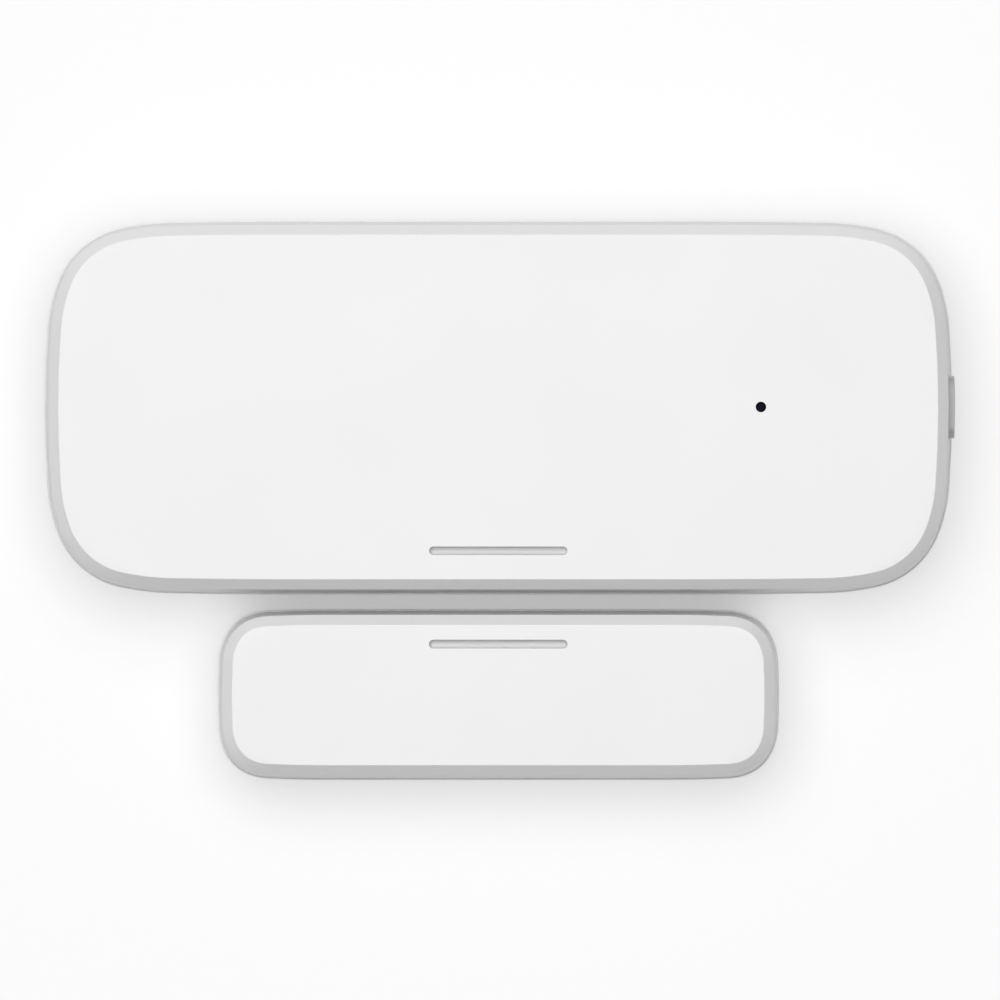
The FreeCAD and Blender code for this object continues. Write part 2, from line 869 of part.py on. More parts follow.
def light_pipe():
    """The clear rod from the light on the board to the pinhole in the front."""
    low = board_top + led_height + pipe_led_gap
    shoulder_z = ceiling_z - touch_gap
    rod = post(light_x, 0, pipe_radius, (low, shoulder_z))
    tip = post(light_x, 0, light_radius - light_clearance, (shoulder_z, sensor_top - light_recess))
    return rod.fuse(tip).removeSplitter()


def front_cover():
    """The sensor's front: shell, light boss, button rails and cell rib, with its openings."""
    shell = cover_shell(sensor_outline, sensor_top, 0)
    shell = shell.fuse([light_boss(), cell_rib()] + button_rails())
    bore = post(light_x, 0, pipe_radius + boss_clearance, (ceiling_z - boss_drop - past, ceiling_z))
    pinhole = post(light_x, 0, light_radius, (ceiling_z - past, sensor_top + past))
    groove = groove_cutter(sensor_groove_from_side - sensor_width / 2, sensor_top)
    return shell.cut([bore, pinhole, groove, button_slot()]).removeSplitter()


# Magnet block
def cradle():
    """The low walls and seats that hold the bar magnet."""
    low = parting_z - root
    half_length = bar_length / 2 + bar_clearance
    half_width = bar_width / 2 + bar_clearance
    top = bar_z + cradle_height
    outer = box(
        around(0, 2 * (half_length + cradle_thickness)),
        around(magnet_y, 2 * (half_width + cradle_thickness)),
        (low, top),
    )
    inner = box(around(0, 2 * half_length), around(magnet_y, 2 * half_width), (low - past, top + past))
    windows = box(around(0, bar_length / 2), around(magnet_y, magnet_width), (bar_z, top + past))
    seats = []
    for share in seat_places:
        x = around(share * bar_length, saddle_thickness)
        seats.append(box(x, around(magnet_y, 2 * half_width + cradle_thickness), (low, bar_z)))
    return outer.cut([inner, windows]).fuse(seats)


def magnet_back_plate():
    """The magnet block's back plate with its lip, cradle and screw holes."""
    plate = plate_with_tongues(magnet_outline, magnet_end_tongue, magnet_y).fuse(cradle())
    plate = plate.cut(pad_pocket(magnet_pad_length, magnet_pad_width, magnet_y))
    for x in (-magnet_hole_x, magnet_hole_x):
        plate = plate.cut(screw_hole(x, magnet_y, magnet_hole_radius))
    return plate.removeSplitter()


def bar_magnet():
    """The bar magnet with bevelled edges."""
    bar = box(around(0, bar_length), around(magnet_y, bar_width), (bar_z, bar_z + bar_height))
    return bar.makeChamfer(bar_bevel, bar.Edges)


def magnet_cover():
    """The magnet block's front, with two ribs that keep the bar down."""
    shell = cover_shell(magnet_outline, magnet_top, magnet_y)
    ribs = []
    for share in rib_places:
        x = around(share * bar_length, saddle_thickness)
        low = bar_z + bar_height + bar_clearance
        ribs.append(box(x, around(magnet_y, bar_width), (low, magnet_ceiling_z + root)))
    groove = groove_cutter(magnet_y + magnet_width / 2 - magnet_groove_from_side, magnet_top)
    return shell.fuse(ribs).cut(groove).removeSplitter()


def sub_parts():
    """Every piece of the two units, by name."""
    return {
        "sensor_adhesive_pad": adhesive_pad(sensor_pad_length, sensor_pad_width, 0),
        "back_cover": back_cover(),
        "battery_cell_upper": cell(upper_cell_y, 1),
        "battery_cell_lower": cell(lower_cell_y, -1),
        "contact_bridge": contact_bridge(),
        "contact_positive": contact_positive(),
        "contact_negative": contact_negative(),
        "circuit_board": circuit_board(),
        "board_screws": board_screws(),
        "reed_switch_glass": reed_switch_glass(),
        "reed_switch_leads": reed_switch_leads(),
        "radio_module": radio_module(),
        "radio_shield_can": radio_shield_can(),
        "module_antenna": module_antenna(),
        "controller_chip": controller_chip(),
        "clock_crystal": clock_crystal(),
        "buffer_capacitor": buffer_capacitor(),
        "status_led": status_led(),
        "chip_parts": chip_parts(),
        "tact_switch_body": tact_switch_body(),
        "tact_switch_frame": tact_switch_frame(),
        "switch_plunger": switch_plunger(),
        "front_cover": front_cover(),
        "light_pipe": light_pipe(),
        "side_button": side_button(),
        "magnet_adhesive_pad": adhesive_pad(magnet_pad_length, magnet_pad_width, magnet_y),
        "magnet_back_plate": magnet_back_plate(),
        "bar_magnet": bar_magnet(),
        "magnet_cover": magnet_cover(),
    }


os.makedirs("parts", exist_ok=True)
for name, shape in sub_parts().items():
    shape.exportStep(f"parts/{name}.step")
print(f"sensor {sensor_length:.2f} x {sensor_width:.2f} x {sensor_top:.2f}")
print(f"magnet block {magnet_length:.2f} x {magnet_width:.2f} x {magnet_top:.2f}, middle at y {magnet_y:.2f}")
print(f"light at x {light_x:.2f}, screw holes at x {mount_hole_x:.2f} and {magnet_hole_x:.2f}")
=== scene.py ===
"""Door sensor with its magnet block: the looks, built over the CAD frame."""

import math

import bmesh
import bpy
from bpy.props import FloatProperty, FloatVectorProperty, PointerProperty
from mathutils import Matrix, Vector


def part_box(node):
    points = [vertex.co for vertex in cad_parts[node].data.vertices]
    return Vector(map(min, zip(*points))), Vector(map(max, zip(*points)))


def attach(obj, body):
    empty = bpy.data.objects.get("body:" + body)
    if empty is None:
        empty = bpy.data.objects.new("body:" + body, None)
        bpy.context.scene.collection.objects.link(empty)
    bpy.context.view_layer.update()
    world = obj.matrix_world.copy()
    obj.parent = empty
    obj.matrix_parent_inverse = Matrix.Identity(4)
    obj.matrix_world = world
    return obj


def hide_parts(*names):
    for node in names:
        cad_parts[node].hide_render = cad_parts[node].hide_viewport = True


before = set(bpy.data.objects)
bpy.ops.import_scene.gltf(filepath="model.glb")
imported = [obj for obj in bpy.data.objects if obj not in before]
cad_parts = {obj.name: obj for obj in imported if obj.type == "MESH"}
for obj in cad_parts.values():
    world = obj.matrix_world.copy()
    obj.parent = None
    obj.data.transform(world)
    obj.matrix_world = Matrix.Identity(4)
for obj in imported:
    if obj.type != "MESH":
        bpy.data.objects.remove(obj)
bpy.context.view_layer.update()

bl_info = {
    "name": "Door sensor",
    "version": (1, 0, 0),
    "blender": (4, 5, 0),
    "location": "3D Viewport > Sidebar > Door sensor",
    "description": "Builds a door sensor and its magnet block, inside and out, over their CAD frame",
    "category": "Add Mesh",
}

# Shapes are made in millimetres, as in the CAD source, and become metres when a mesh is made a piece.
MM = 0.001


# Places in the frame, in millimetres
def place(node):
    """A CAD node's lowest and highest corners at rest."""
    low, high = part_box(node)
    return low / MM, high / MM


def middle(node):
    """The middle of a CAD node's box."""
    low, high = place(node)
    return (low + high) / 2


def foot(node, rise=0.0):
    """The middle of the underside of a CAD node's box, or a point over it."""
    at = middle(node)
    return Vector((at.x, at.y, place(node)[0].z + rise))


plate_low, plate_high = place("back_cover")
cover_low, cover_high = place("front_cover")
magnet_plate_low, magnet_plate_high = place("magnet_back_plate")
pipe_low, pipe_high = place("light_pipe")
button_low, button_high = place("side_button")

SENSOR_LENGTH = plate_high.x - plate_low.x
SENSOR_WIDTH = plate_high.y - plate_low.y
MAGNET_LENGTH = magnet_plate_high.x - magnet_plate_low.x
MAGNET_WIDTH = magnet_plate_high.y - magnet_plate_low.y
MAGNET_Y = (magnet_plate_high.y + magnet_plate_low.y) / 2
PLATE_Z = plate_low.z
SEAM_Z = cover_low.z
PARTING_Z = SEAM_Z - 0.05
SENSOR_TOP = cover_high.z
MAGNET_TOP = place("magnet_cover")[1].z
BOARD_TOP = place("circuit_board")[1].z
LIGHT_X = (pipe_low.x + pipe_high.x) / 2
BUTTON_Z = (button_low.z + button_high.z) / 2

# Outlines: length, width, middle in Y, and the bends of an end from the long side on, each as its radius
# and its turn in degrees
SENSOR_OUTLINE = (SENSOR_LENGTH, SENSOR_WIDTH, 0.0,
                  ((569.0, 1.1), (25.3, 11.4), (8.17, 56.1), (15.5, 17.3)))
MAGNET_OUTLINE = (MAGNET_LENGTH, MAGNET_WIDTH, MAGNET_Y,
                  ((118.5, 2.6), (6.33, 14.4), (4.32, 47.1), (6.01, 23.3)))
STEP_TURN = math.radians(1.8)

# Housing sections
COVER_STEP = 0.15
DRAFT = 0.35
WALL = 1.8
FRONT = 1.8
PLATE_BEVEL = 0.5
CEILING = SENSOR_TOP - FRONT
MAGNET_CEILING = MAGNET_TOP - FRONT

# Openings in the housings, as places and radii
SCREW_HOLES = ((-20.0, 2.75, 1.75), (20.0, 2.75, 1.75))
MAGNET_HOLES = ((-20.5, MAGNET_Y, 1.7), (20.5, MAGNET_Y, 1.7))
GROOVE_RADIUS = 0.4
GROOVE_DEPTH = 0.7
GROOVE_LENGTH = 13.1
GROOVE_Y = 4.155 - SENSOR_WIDTH / 2
MAGNET_GROOVE_Y = magnet_plate_high.y - 3.27
PINHOLE_RADIUS = 0.5

# Inside the front cover: the light's boss, the rib over the cells, and the button's rails and hooks
BOSS_RADIUS = 2.4
BOSS_HEIGHT = 4.3
BORE_RADIUS = 1.4
RIB_X = (-28.63, 0.955)
RIB_Y = (2.15, 3.35)
RIB_HEIGHT = 2.705
RAIL_Y = (4.25, 5.25)
HOOK_Y = (3.75, 4.3)
RAIL_DROP = 1.9

# Inside the magnet block: the two ribs of its cover over the bar, and how deep the plates' walls are rooted
MAGNET_RIBS_X = (-9.0, 9.0)
MAGNET_RIB_WIDTH = 7.0
MAGNET_RIB_LOW = 8.7
RIB_THICKNESS = 1.2
WALL_ROOT = 0.4

# The button's cap, flange and slot, as width and height with a corner radius
BUTTON_CAP = ((5.9, 3.2), 1.0)
BUTTON_FLANGE = ((8.3, 3.8), 1.0)
BUTTON_SLOT = ((6.1, 3.4), 1.1)
BUTTON_SLOT_X = 39.9
FLANGE_DEPTH = 0.8
BUTTON_CROWN = 60.0
CROWN_SLICE = 0.38

# The pads: their recesses in the back plates, and the middle of their thickness
PAD_RECESS = (33.2, 26.2)
MAGNET_PAD_RECESS = (30.2, 9.8)
PAD_MIDDLE = 0.45

# Small parts, test pads and plated holes on the board, along from the edge of its block that faces the cells
BOARD_LEFT = 13.125
SMALL_PARTS = ((3.5, 13.4), (3.5, 11.4), (12.9, 5.6), (16.4, 4.0), (9.2, 7.4), (2.6, -6.4), (2.6, -8.6))
TEST_PADS = ((15.6, 0.6), (17.2, 0.6), (18.8, 0.6))
VIAS = (
    (1.2, -12.6), (1.2, -3.4), (11.1, 14.3), (5.6, 9.2), (9.8, 6.1), (11.1, 11.9), (14.9, 4.6),
    (14.6, 6.9), (18.6, 4.3), (19.8, 3.1), (21.7, 5.6), (24.6, 5.1), (16.3, -2.0), (19.4, -1.9),
    (8.0, -1.9), (-5.5, -9.6), (-12.4, -13.6), (-23.4, -13.4), (-21.9, -10.1),
)

# Edge pads of the radio's board, and leads of the chip: the first one's place and their pitch
EDGE_PADS = (0.9, 1.27)
CHIP_LEADS = (0.75, 0.5)

# Room between a part and the outline printed round it
PRINT_ROOM = {"controller_chip": 0.35, "buffer_capacitor": 0.25, "status_led": 0.4, "clock_crystal": 0.3}

# Stage, in metres: the camera above, the lamp, the room's light on the object and the sheet's half width
EYE = (0.166 * MM, -8.812 * MM, 3.698)
LENS = 1400.0
LAMP_PLACE = Vector((-0.09, 0.2, 1.0))
LAMP_WIDTH = 0.95
LAMP_WATTS = 9.95
ROOM_LIGHT = 0.14
SHEET_REACH = 3.0

# Sheet: its colour, its own light for the camera, and the levels of painted shade that dim that light where
# little sky is open
SHEET_COLOUR = (0.85, 0.85, 0.85, 1)
GLOW_SHARE = 0.65
GLOW_STRENGTH = 1.08
PAINTED_SHADE_REACH = 5.0
SHEET_PAINTED_SHADE_LEVELS = ((0.18, 0.49), (0.5, 0.87))


def linear(code):
    """Turn an sRGB hex colour into the linear values that shaders take."""
    values = []
    for start in (1, 3, 5):
        share = int(code[start : start + 2], 16) / 255
        values.append(share / 12.92 if share <= 0.04045 else ((share + 0.055) / 1.055) ** 2.4)
    return tuple(values)


# What a user would change
def length_value(name, description, default, low, high):
    """A length property, from millimetres."""
    return FloatProperty(
        name=name, description=description, default=default * MM, min=low * MM, max=high * MM, unit="LENGTH"
    )


def colour_value(name, description, code):
    """A colour property, from an sRGB hex colour."""
    return FloatVectorProperty(
        name=name, description=description, default=linear(code), size=3, min=0.0, max=1.0, subtype="COLOR"
    )


class DoorSensorSizes(bpy.types.PropertyGroup):
    """Sizes of the chamfer round each moulded front."""

    chamfer_width: length_value("Chamfer width", "Width of the chamfer, seen from above", 0.95, 0.2, 1.6)
    chamfer_depth: length_value("Chamfer depth", "How far the chamfer runs down from the front",
                                1.35, 0.2, 1.6)
    edge_radius: length_value("Edge radius", "Radius that breaks the chamfer's two edges", 0.1, 0.02, 0.3)


class DoorSensorColours(bpy.types.PropertyGroup):
    """Colours of the housings, the button, the light pipe and the cells."""

    housing: colour_value("Housing", "Colour of the moulded covers and back plates", "#F0F0F0")
    button: colour_value("Button", "Colour of the side button", "#C6C6C6")
    light_pipe: colour_value("Light pipe", "Colour of the smoked light pipe in the pinhole", "#14141F")
    jacket: colour_value("Cell jacket", "Colour of the film round the two cells", "#44596B")


# Shapes
ALONG_X = Matrix(((0, 0, 1, 0), (1, 0, 0, 0), (0, 1, 0, 0), (0, 0, 0, 1)))  # X, Y and Z lie along Y, Z and X


def lowest_highest(faces):
    """The lowest and the highest of some faces."""
    ordered = sorted(faces, key=lambda face: face.calc_center_median().z)
    return ordered[0], ordered[-1]


def outline_face(outline, inset, z):
    """A flat face inside a housing's outline: one quarter is spun bend by bend, then mirrored."""
    length, width, middle_y, bends = outline
    angle = 0.0
    along = 0.0
    drop = 0.0
    arcs = []
    for radius, turn in bends:
        end = angle + math.radians(turn)
        arcs.append((radius, angle, end, along, drop))
        along += radius * (math.sin(end) - math.sin(angle))
        drop += radius * (math.cos(angle) - math.cos(end))
        angle = end
    crown = (width / 2 - drop) / math.cos(angle)
    arcs.append((crown, angle, math.pi / 2, along, drop))
    start = length / 2 - along - crown * (1 - math.sin(angle))
    bm = bmesh.new()
    tip = bm.verts.new((start, width / 2 - inset, z))
    for radius, begin, end, run, fall in arcs:
        centre = (start + run - radius * math.sin(begin), width / 2 - fall - radius * math.cos(begin), z)
        steps = max(2, round((end - begin) / STEP_TURN))
        turn = {"axis": (0, 0, 1), "dvec": (0, 0, 0), "angle": begin - end, "steps": steps}
        tip = bmesh.ops.spin(bm, geom=[tip], cent=centre, **turn)["geom_last"][0]
    for axis in ("Y", "X"):
        bmesh.ops.mirror(bm, geom=bm.verts[:] + bm.edges[:], matrix=Matrix(), axis=axis, merge_dist=1e-4)
    ends = [vert for vert in bm.verts if len(vert.link_edges) == 1]
    for side in (-1, 1):
        bm.edges.new([vert for vert in ends if vert.co.y * side > 0])
    bmesh.ops.edgeloop_fill(bm, edges=bm.edges[:])
    bmesh.ops.translate(bm, verts=bm.verts[:], vec=(0, middle_y, 0))
    return bm


def only(items, kind):
    """Those of some mesh elements that are of one kind."""
    return [item for item in items if isinstance(item, kind)]


def thicken(bm, thickness):
    """Turn a flat outline into a slab, and hand back its lower and upper faces."""
    made = bmesh.ops.extrude_face_region(bm, geom=bm.faces[:])
    bmesh.ops.translate(bm, verts=only(made["geom"], bmesh.types.BMVert), vec=(0, 0, thickness))
    bmesh.ops.recalc_face_normals(bm, faces=bm.faces[:])
    return lowest_highest(bm.faces)


def rounded(profile, steps=4):
    """Round the corners of a profile, whose points are inset, height and corner radius."""
    points = [Vector(profile[0][:2])]
    for before, here, after in zip(profile, profile[1:], profile[2:]):
        corner = Vector(here[:2])
        back = (Vector(before[:2]) - corner).normalized()
        ahead = (Vector(after[:2]) - corner).normalized()
        turn = math.pi - back.angle(ahead, 0.0)
        if here[2] == 0.0 or turn < 1e-3:
            points.append(corner)
            continue
        reach = here[2] * math.tan(turn / 2)
        start = corner + back * reach
        end = corner + ahead * reach
        for step in range(steps + 1):
            share = step / steps
            points.append(start.lerp(corner, share).lerp(corner.lerp(end, share), share))
    points.append(Vector(profile[-1][:2]))
    return points


def follow(bm, face, profile):
    """Carry a level face along a profile of insets and heights, and leave a wall behind it."""
    for here, after in zip(profile, profile[1:]):
        face.normal_update()
        bmesh.ops.inset_region(
            bm,
            faces=[face],
            thickness=after[0] - here[0],
            depth=(after[1] - here[1]) * (1 if face.normal.z > 0 else -1),
            use_even_offset=True,
            use_boundary=True,
        )


def bevel(bm, parts, kind, offset, segments):
    """Round some of a shape's vertices or edges."""
    bmesh.ops.bevel(
        bm,
        geom=parts,
        offset=offset,
        offset_type="OFFSET",
        segments=segments,
        profile=0.5,
        affect=kind,
        clamp_overlap=kind == "EDGES",
        material=-1,
    )


def round_slab(size, corner, steps=8):
    """A level rounded rectangle about the origin."""
    bm = bmesh.new()
    bmesh.ops.create_grid(bm, x_segments=1, y_segments=1, size=0.5)
    bmesh.ops.scale(bm, verts=bm.verts[:], vec=(size[0], size[1], 1))
    bevel(bm, bm.verts[:], "VERTICES", corner, steps)
    bmesh.ops.remove_doubles(bm, verts=bm.verts[:], dist=1e-3)
    return bm


def prism(bm, length):
    """Extrude a flat face straight up."""
    thicken(bm, length)
    return bm


def block(node, corner, steps):
    """A slab with rounded corners that fills a CAD node's box."""
    low, high = place(node)
    size = high - low
    return laid(prism(round_slab(size.xy, corner, steps), size.z), foot(node))


def laid(bm, at, turn=Matrix()):
    """Turn a shape about the origin, and move it to a place."""
    bmesh.ops.transform(bm, matrix=Matrix.Translation(at) @ turn, verts=bm.verts[:])
    return bm


def add_box(bm, x, y, z):
    """Add a box between the two values of each pair."""
    size = (x[1] - x[0], y[1] - y[0], z[1] - z[0])
    centre = Vector(((x[0] + x[1]) / 2, (y[0] + y[1]) / 2, (z[0] + z[1]) / 2))
    matrix = Matrix.Translation(centre) @ Matrix.Diagonal((*size, 1))
    bmesh.ops.create_cube(bm, size=1.0, matrix=matrix)


def add_post(bm, x, y, radius, z, sides=64):
    """Add an upright cylinder between two heights."""
    matrix = Matrix.Translation((x, y, (z[0] + z[1]) / 2))
    bmesh.ops.create_cone(
        bm, cap_ends=True, segments=sides, radius1=radius, radius2=radius, depth=z[1] - z[0], matrix=matrix
    )


def around(centre, size):
    """The two ends of a length about a middle."""
    return (centre - size / 2, centre + size / 2)


def lathe(profile, sides=64):
    """Spin a profile of radius and height, with corner radii, once round Z."""
    bm = bmesh.new()
    points = rounded(profile)
    verts = [bm.verts.new((radius, 0, height)) for radius, height in points]
    edges = [bm.edges.new(pair) for pair in zip(verts, verts[1:])]
    turn = {"axis": (0, 0, 1), "dvec": (0, 0, 0), "angle": 2 * math.pi, "steps": sides}
    bmesh.ops.spin(bm, geom=verts + edges, cent=(0, 0, 0), use_merge=True, **turn)
    bmesh.ops.remove_doubles(bm, verts=bm.verts[:], dist=1e-4)
    bmesh.ops.recalc_face_normals(bm, faces=bm.faces[:])
    return bm


def to_mesh(name, bm):
    """Turn a bmesh into a mesh of some name, and free it."""
    mesh = bpy.data.meshes.new(name)
    bm.to_mesh(mesh)
    bm.free()
    return mesh


def add_object(name, data):
    """Put a mesh, a light or a camera in the scene."""
    item = bpy.data.objects.new(name, data)
    bpy.context.scene.collection.objects.link(item)
    return item


def combined(bm, tool, operation):
    """Join or cut one closed shape with another."""
    items = [add_object("work", to_mesh("work", part)) for part in (bm, tool)]
    modifier = items[0].modifiers.new("Boolean", "BOOLEAN")
    modifier.operation = operation
    modifier.solver = "EXACT"
    modifier.use_self = True
    modifier.object = items[1]
    result = bmesh.new()
    result.from_object(items[0], bpy.context.evaluated_depsgraph_get())
    for item in items:
        bpy.data.meshes.remove(item.data)
    bmesh.ops.remove_doubles(result, verts=result.verts[:], dist=1e-4)
    return result


def joined(bm, other):
    """Add another shape to a bmesh, as a shell of its own."""
    mesh = to_mesh("work", other)
    bm.from_mesh(mesh)
    bpy.data.meshes.remove(mesh)
    return bm


def everything(bm):
    """All that a bmesh holds."""
    return bm.verts[:] + bm.edges[:] + bm.faces[:]


def repeated(bm, places):
    """Lay a copy of a shape at each of some places, in place of the first."""
    pattern = everything(bm)
    first = bm.verts[:]
    for at in places:
        made = bmesh.ops.duplicate(bm, geom=pattern)
        bmesh.ops.translate(bm, verts=only(made["geom"], bmesh.types.BMVert), vec=at)
    bmesh.ops.delete(bm, geom=first, context="VERTS")
    return bm


def sliced(bm, at, way, clear=False):
    """Cut a shape's faces along a plane, and clear what lies behind it if asked."""
    return bmesh.ops.bisect_plane(bm, geom=everything(bm), plane_co=at, plane_no=way, clear_inner=clear)


def dome(size):
    """Half an ellipsoid, such as solder that has flowed over a pad."""
    bm = bmesh.new()
    bmesh.ops.create_uvsphere(bm, u_segments=20, v_segments=12, radius=1.0)
    sliced(bm, (0, 0, 0), (0, 0, 1), True)
    bmesh.ops.holes_fill(bm, edges=bm.edges[:])
    bmesh.ops.scale(bm, verts=bm.verts[:], vec=size)
    return bm


def add_outline(bm, x, y, z, line):
    """Add a thin printed rectangle."""
    for side in (0, 1):
        add_box(bm, x, around(y[side], line), z)
        add_box(bm, around(x[side], line), y, z)


def break_edges(bm, width, segments=2, limit=32.0):
    """Round every edge that is sharper than a limit in degrees."""
    bm.normal_update()
    limit = math.radians(limit)
    sharp = [edge for edge in bm.edges if len(edge.link_faces) == 2 and edge.calc_face_angle(0.0) > limit]
    bevel(bm, sharp, "EDGES", width, segments)
    return bm


def paint(bm, number, test=lambda at, way: True):
    """Give a material number to the faces that pass a test on their middle and normal, or to all."""
    bm.normal_update()
    for face in bm.faces:
        if test(face.calc_center_median(), face.normal):
            face.material_index = number
    return bm


def upright(at, way):
    """Whether a face stands up, as the cut edge of a board does."""
    return abs(way.z) < 0.5


def cad_copy(node):
    """A CAD node's mesh as a bmesh in millimetres, with its facets joined to whole faces."""
    bm = bmesh.new()
    bm.from_mesh(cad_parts[node].data)
    bmesh.ops.scale(bm, verts=bm.verts[:], vec=(1 / MM, 1 / MM, 1 / MM))
    bmesh.ops.remove_doubles(bm, verts=bm.verts[:], dist=1e-3)
    bmesh.ops.dissolve_limit(bm, angle_limit=math.radians(0.5), verts=bm.verts[:], edges=bm.edges[:])
    bmesh.ops.recalc_face_normals(bm, faces=bm.faces[:])
    return bm


def make_piece(name, bm, body, materials, stands_for=()):
    """Make a shape a piece: metres, smooth shading, materials, body and the nodes it stands for."""
    bmesh.ops.scale(bm, verts=bm.verts[:], vec=(MM, MM, MM))
    mesh = to_mesh(name, bm)
    mesh.shade_smooth()
    for material in materials:
        mesh.materials.append(material)
    piece = add_object(name, mesh)
    weighted = piece.modifiers.new("Weighted normals", "WEIGHTED_NORMAL")
    weighted.keep_sharp = True
    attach(piece, body)
    if stands_for:
        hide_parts(*stands_for)
    return piece


def dressed(node, name, body, materials, width):
    """Stand a copy of a CAD node in its place, with its edges broken."""
    make_piece(name, break_edges(cad_copy(node), width), body, materials, (node,))


# Finishes
def add_node(tree, kind, sockets, **settings):
    """Add a shader node with its settings, and give its sockets values or links."""
    node = tree.nodes.new("ShaderNode" + kind)
    for name, value in settings.items():
        setattr(node, name, value)
    for name, value in sockets.items():
        if isinstance(value, bpy.types.NodeSocket):
            tree.links.new(value, node.inputs[name])
        else:
            node.inputs[name].default_value = value
    return node


class Finish:
    """A material in the making, with plain values on its shader and the object's own coordinates at hand."""

    def __init__(self, name, values):
        self.material = bpy.data.materials.new(name)
        self.material.use_nodes = True
        self.tree = self.material.node_tree
        self.shader = self.tree.nodes["Principled BSDF"]
        for socket, value in values.items():
            self.shader.inputs[socket].default_value = value
        self.where = self.node("TexCoord", {}).outputs["Object"]

    def node(self, kind, sockets, **settings):
        """Add a node to the material."""
        return add_node(self.tree, kind, sockets, **settings)

    def noise(self, size_mm, detail, where=None):
        """Soft noise, with features of a size in millimetres."""
        where = self.where if where is None else where
        return self.node("TexNoise", {"Vector": where, "Scale": 1 / (size_mm * MM),
                                      "Detail": detail}).outputs["Fac"]

    def colour(self, share, first, second):
        """Base colour that runs from one colour, or link, to another."""
        ends = [end if isinstance(end, bpy.types.NodeSocket) else (*end, 1) for end in (first, second)]
        mixed = self.node("Mix", {0: share, 6: ends[0], 7: ends[1]}, data_type="RGBA").outputs[2]
        self.tree.links.new(mixed, self.shader.inputs["Base Color"])
        return mixed

    def gloss(self, share, low, high):
        """Roughness that runs between two values."""
        spread = self.node("MapRange", {"Value": share, "To Min": low, "To Max": high})
        self.tree.links.new(spread.outputs["Result"], self.shader.inputs["Roughness"])

    def relief(self, height, depth_mm):
        """Bumps of a depth in millimetres."""
        bump = self.node("Bump", {"Height": height, "Strength": 1.0, "Distance": depth_mm * MM})
        self.tree.links.new(bump.outputs["Normal"], self.shader.inputs["Normal"])


def moulded(name, colour, roughness, grain_mm, depth_mm, values=None):
    """Moulded plastic with the fine spark-eroded grain of its mould and a gloss that drifts with the flow."""
    finish = Finish(name, {"IOR": 1.53, **(values or {})})
    flow = finish.noise(14, 2.0)
    finish.colour(flow, colour, [value * 0.985 for value in colour])
    finish.gloss(flow, roughness - 0.03, roughness + 0.03)
    finish.relief(finish.noise(grain_mm, 3.0), depth_mm)
    return finish.material


def worked_metal(name, light, dark, roughness, spread, streak_mm, depth_mm, stretch=(1, 1, 1)):
    """Plated or drawn metal, whose tint and gloss change along fine streaks."""
    finish = Finish(name, {"Metallic": 1.0})
    along = finish.node("Mapping", {"Vector": finish.where, "Scale": stretch})
    streak = finish.noise(streak_mm, 4.0, along.outputs["Vector"])
    finish.colour(streak, linear(light), linear(dark))
    finish.gloss(streak, roughness - spread, roughness + spread)
    finish.relief(streak, depth_mm)
    return finish.material


def foam():
    """Closed-cell polyethylene foam: dull, pale grey, with cells that show as fine dimples."""
    finish = Finish("Closed-cell polyethylene foam", {"Roughness": 0.95, "IOR": 1.5})
    finish.colour(finish.noise(3, 3.0), linear("#DCDCD8"), linear("#C4C4BF"))
    cells = finish.node("TexVoronoi", {"Vector": finish.where, "Scale": 1 / (0.28 * MM)})
    finish.relief(cells.outputs["Distance"], 0.05)
    return finish.material


def solder_mask(name, mask, pour, roughness):
    """Glossy lacquer over a board: lighter where copper lies under it, with narrow gaps between."""
    finish = Finish(name, {"Roughness": roughness, "IOR": 1.52})
    dark = (*linear(mask), 1)
    bricks = {"Color1": dark, "Color2": (*linear(pour), 1), "Mortar": dark, "Mortar Smooth": 0.1,
              "Scale": 1 / MM}
    turned = finish.node("Mapping", {"Vector": finish.where,
                                     "Rotation": (0, 0, math.pi / 2)}).outputs["Vector"]
    tracks = []
    for where, gap, run, pitch in ((finish.where, 0.1, 5.3, 0.55), (turned, 0.12, 7.1, 2.3)):
        sizes = {"Mortar Size": gap, "Brick Width": run, "Row Height": pitch}
        tracks.append(finish.node("TexBrick", {"Vector": where, **bricks, **sizes}).outputs["Color"])
    area = finish.node("TexVoronoi", {"Vector": finish.where, "Scale": 1 / (5 * MM)}, distance="CHEBYCHEV")
    pick = finish.node("Math", {0: area.outputs["Color"], 1: 0.45}, operation="GREATER_THAN")
    finish.relief(finish.colour(pick.outputs["Value"], *tracks), 0.12)
    return finish.material


def clear_glass(name, tint, roughness):
    """Drawn or cast clear stuff, with faint waves in its surface."""
    finish = Finish(name, {"IOR": 1.5, "Transmission Weight": 1.0})
    wave = finish.noise(2, 1.0)
    finish.colour(wave, linear(tint), [0.92 * value for value in linear(tint)])
    finish.gloss(wave, roughness, roughness + 0.05)
    return finish.material


def shared(name, make, *values):
    """A material that several pieces wear: made once, then found by its name."""
    return bpy.data.materials.get(name) or make(name, *values)


def solder():
    """Reflowed tin solder: bright, soft-edged, a little crazed."""
    return shared("Reflowed tin solder", worked_metal, "#D6D7D9", "#B4B6B9", 0.27, 0.08, 0.35, 0.01)


def gold_plate():
    """Thin gold over nickel on copper pads: pale, satin yellow."""
    return shared("Gold-plated copper", worked_metal, "#E2C37A", "#D1AE62", 0.3, 0.06, 0.3, 0.002)


def chip_epoxy():
    """Black moulding epoxy, full of silica: matt, with a fine pepper grain."""
    return shared("Black moulding epoxy", moulded, linear("#232427"), 0.62, 0.12, 0.006)


def can_steel():
    """Drawn nickel silver, as shields and crystal cans are: a soft sheen with drawing lines."""
    return shared("Drawn nickel silver", worked_metal, "#CFCFCB", "#B9B9B5", 0.3, 0.06, 0.5, 0.004, (1, 6, 6))


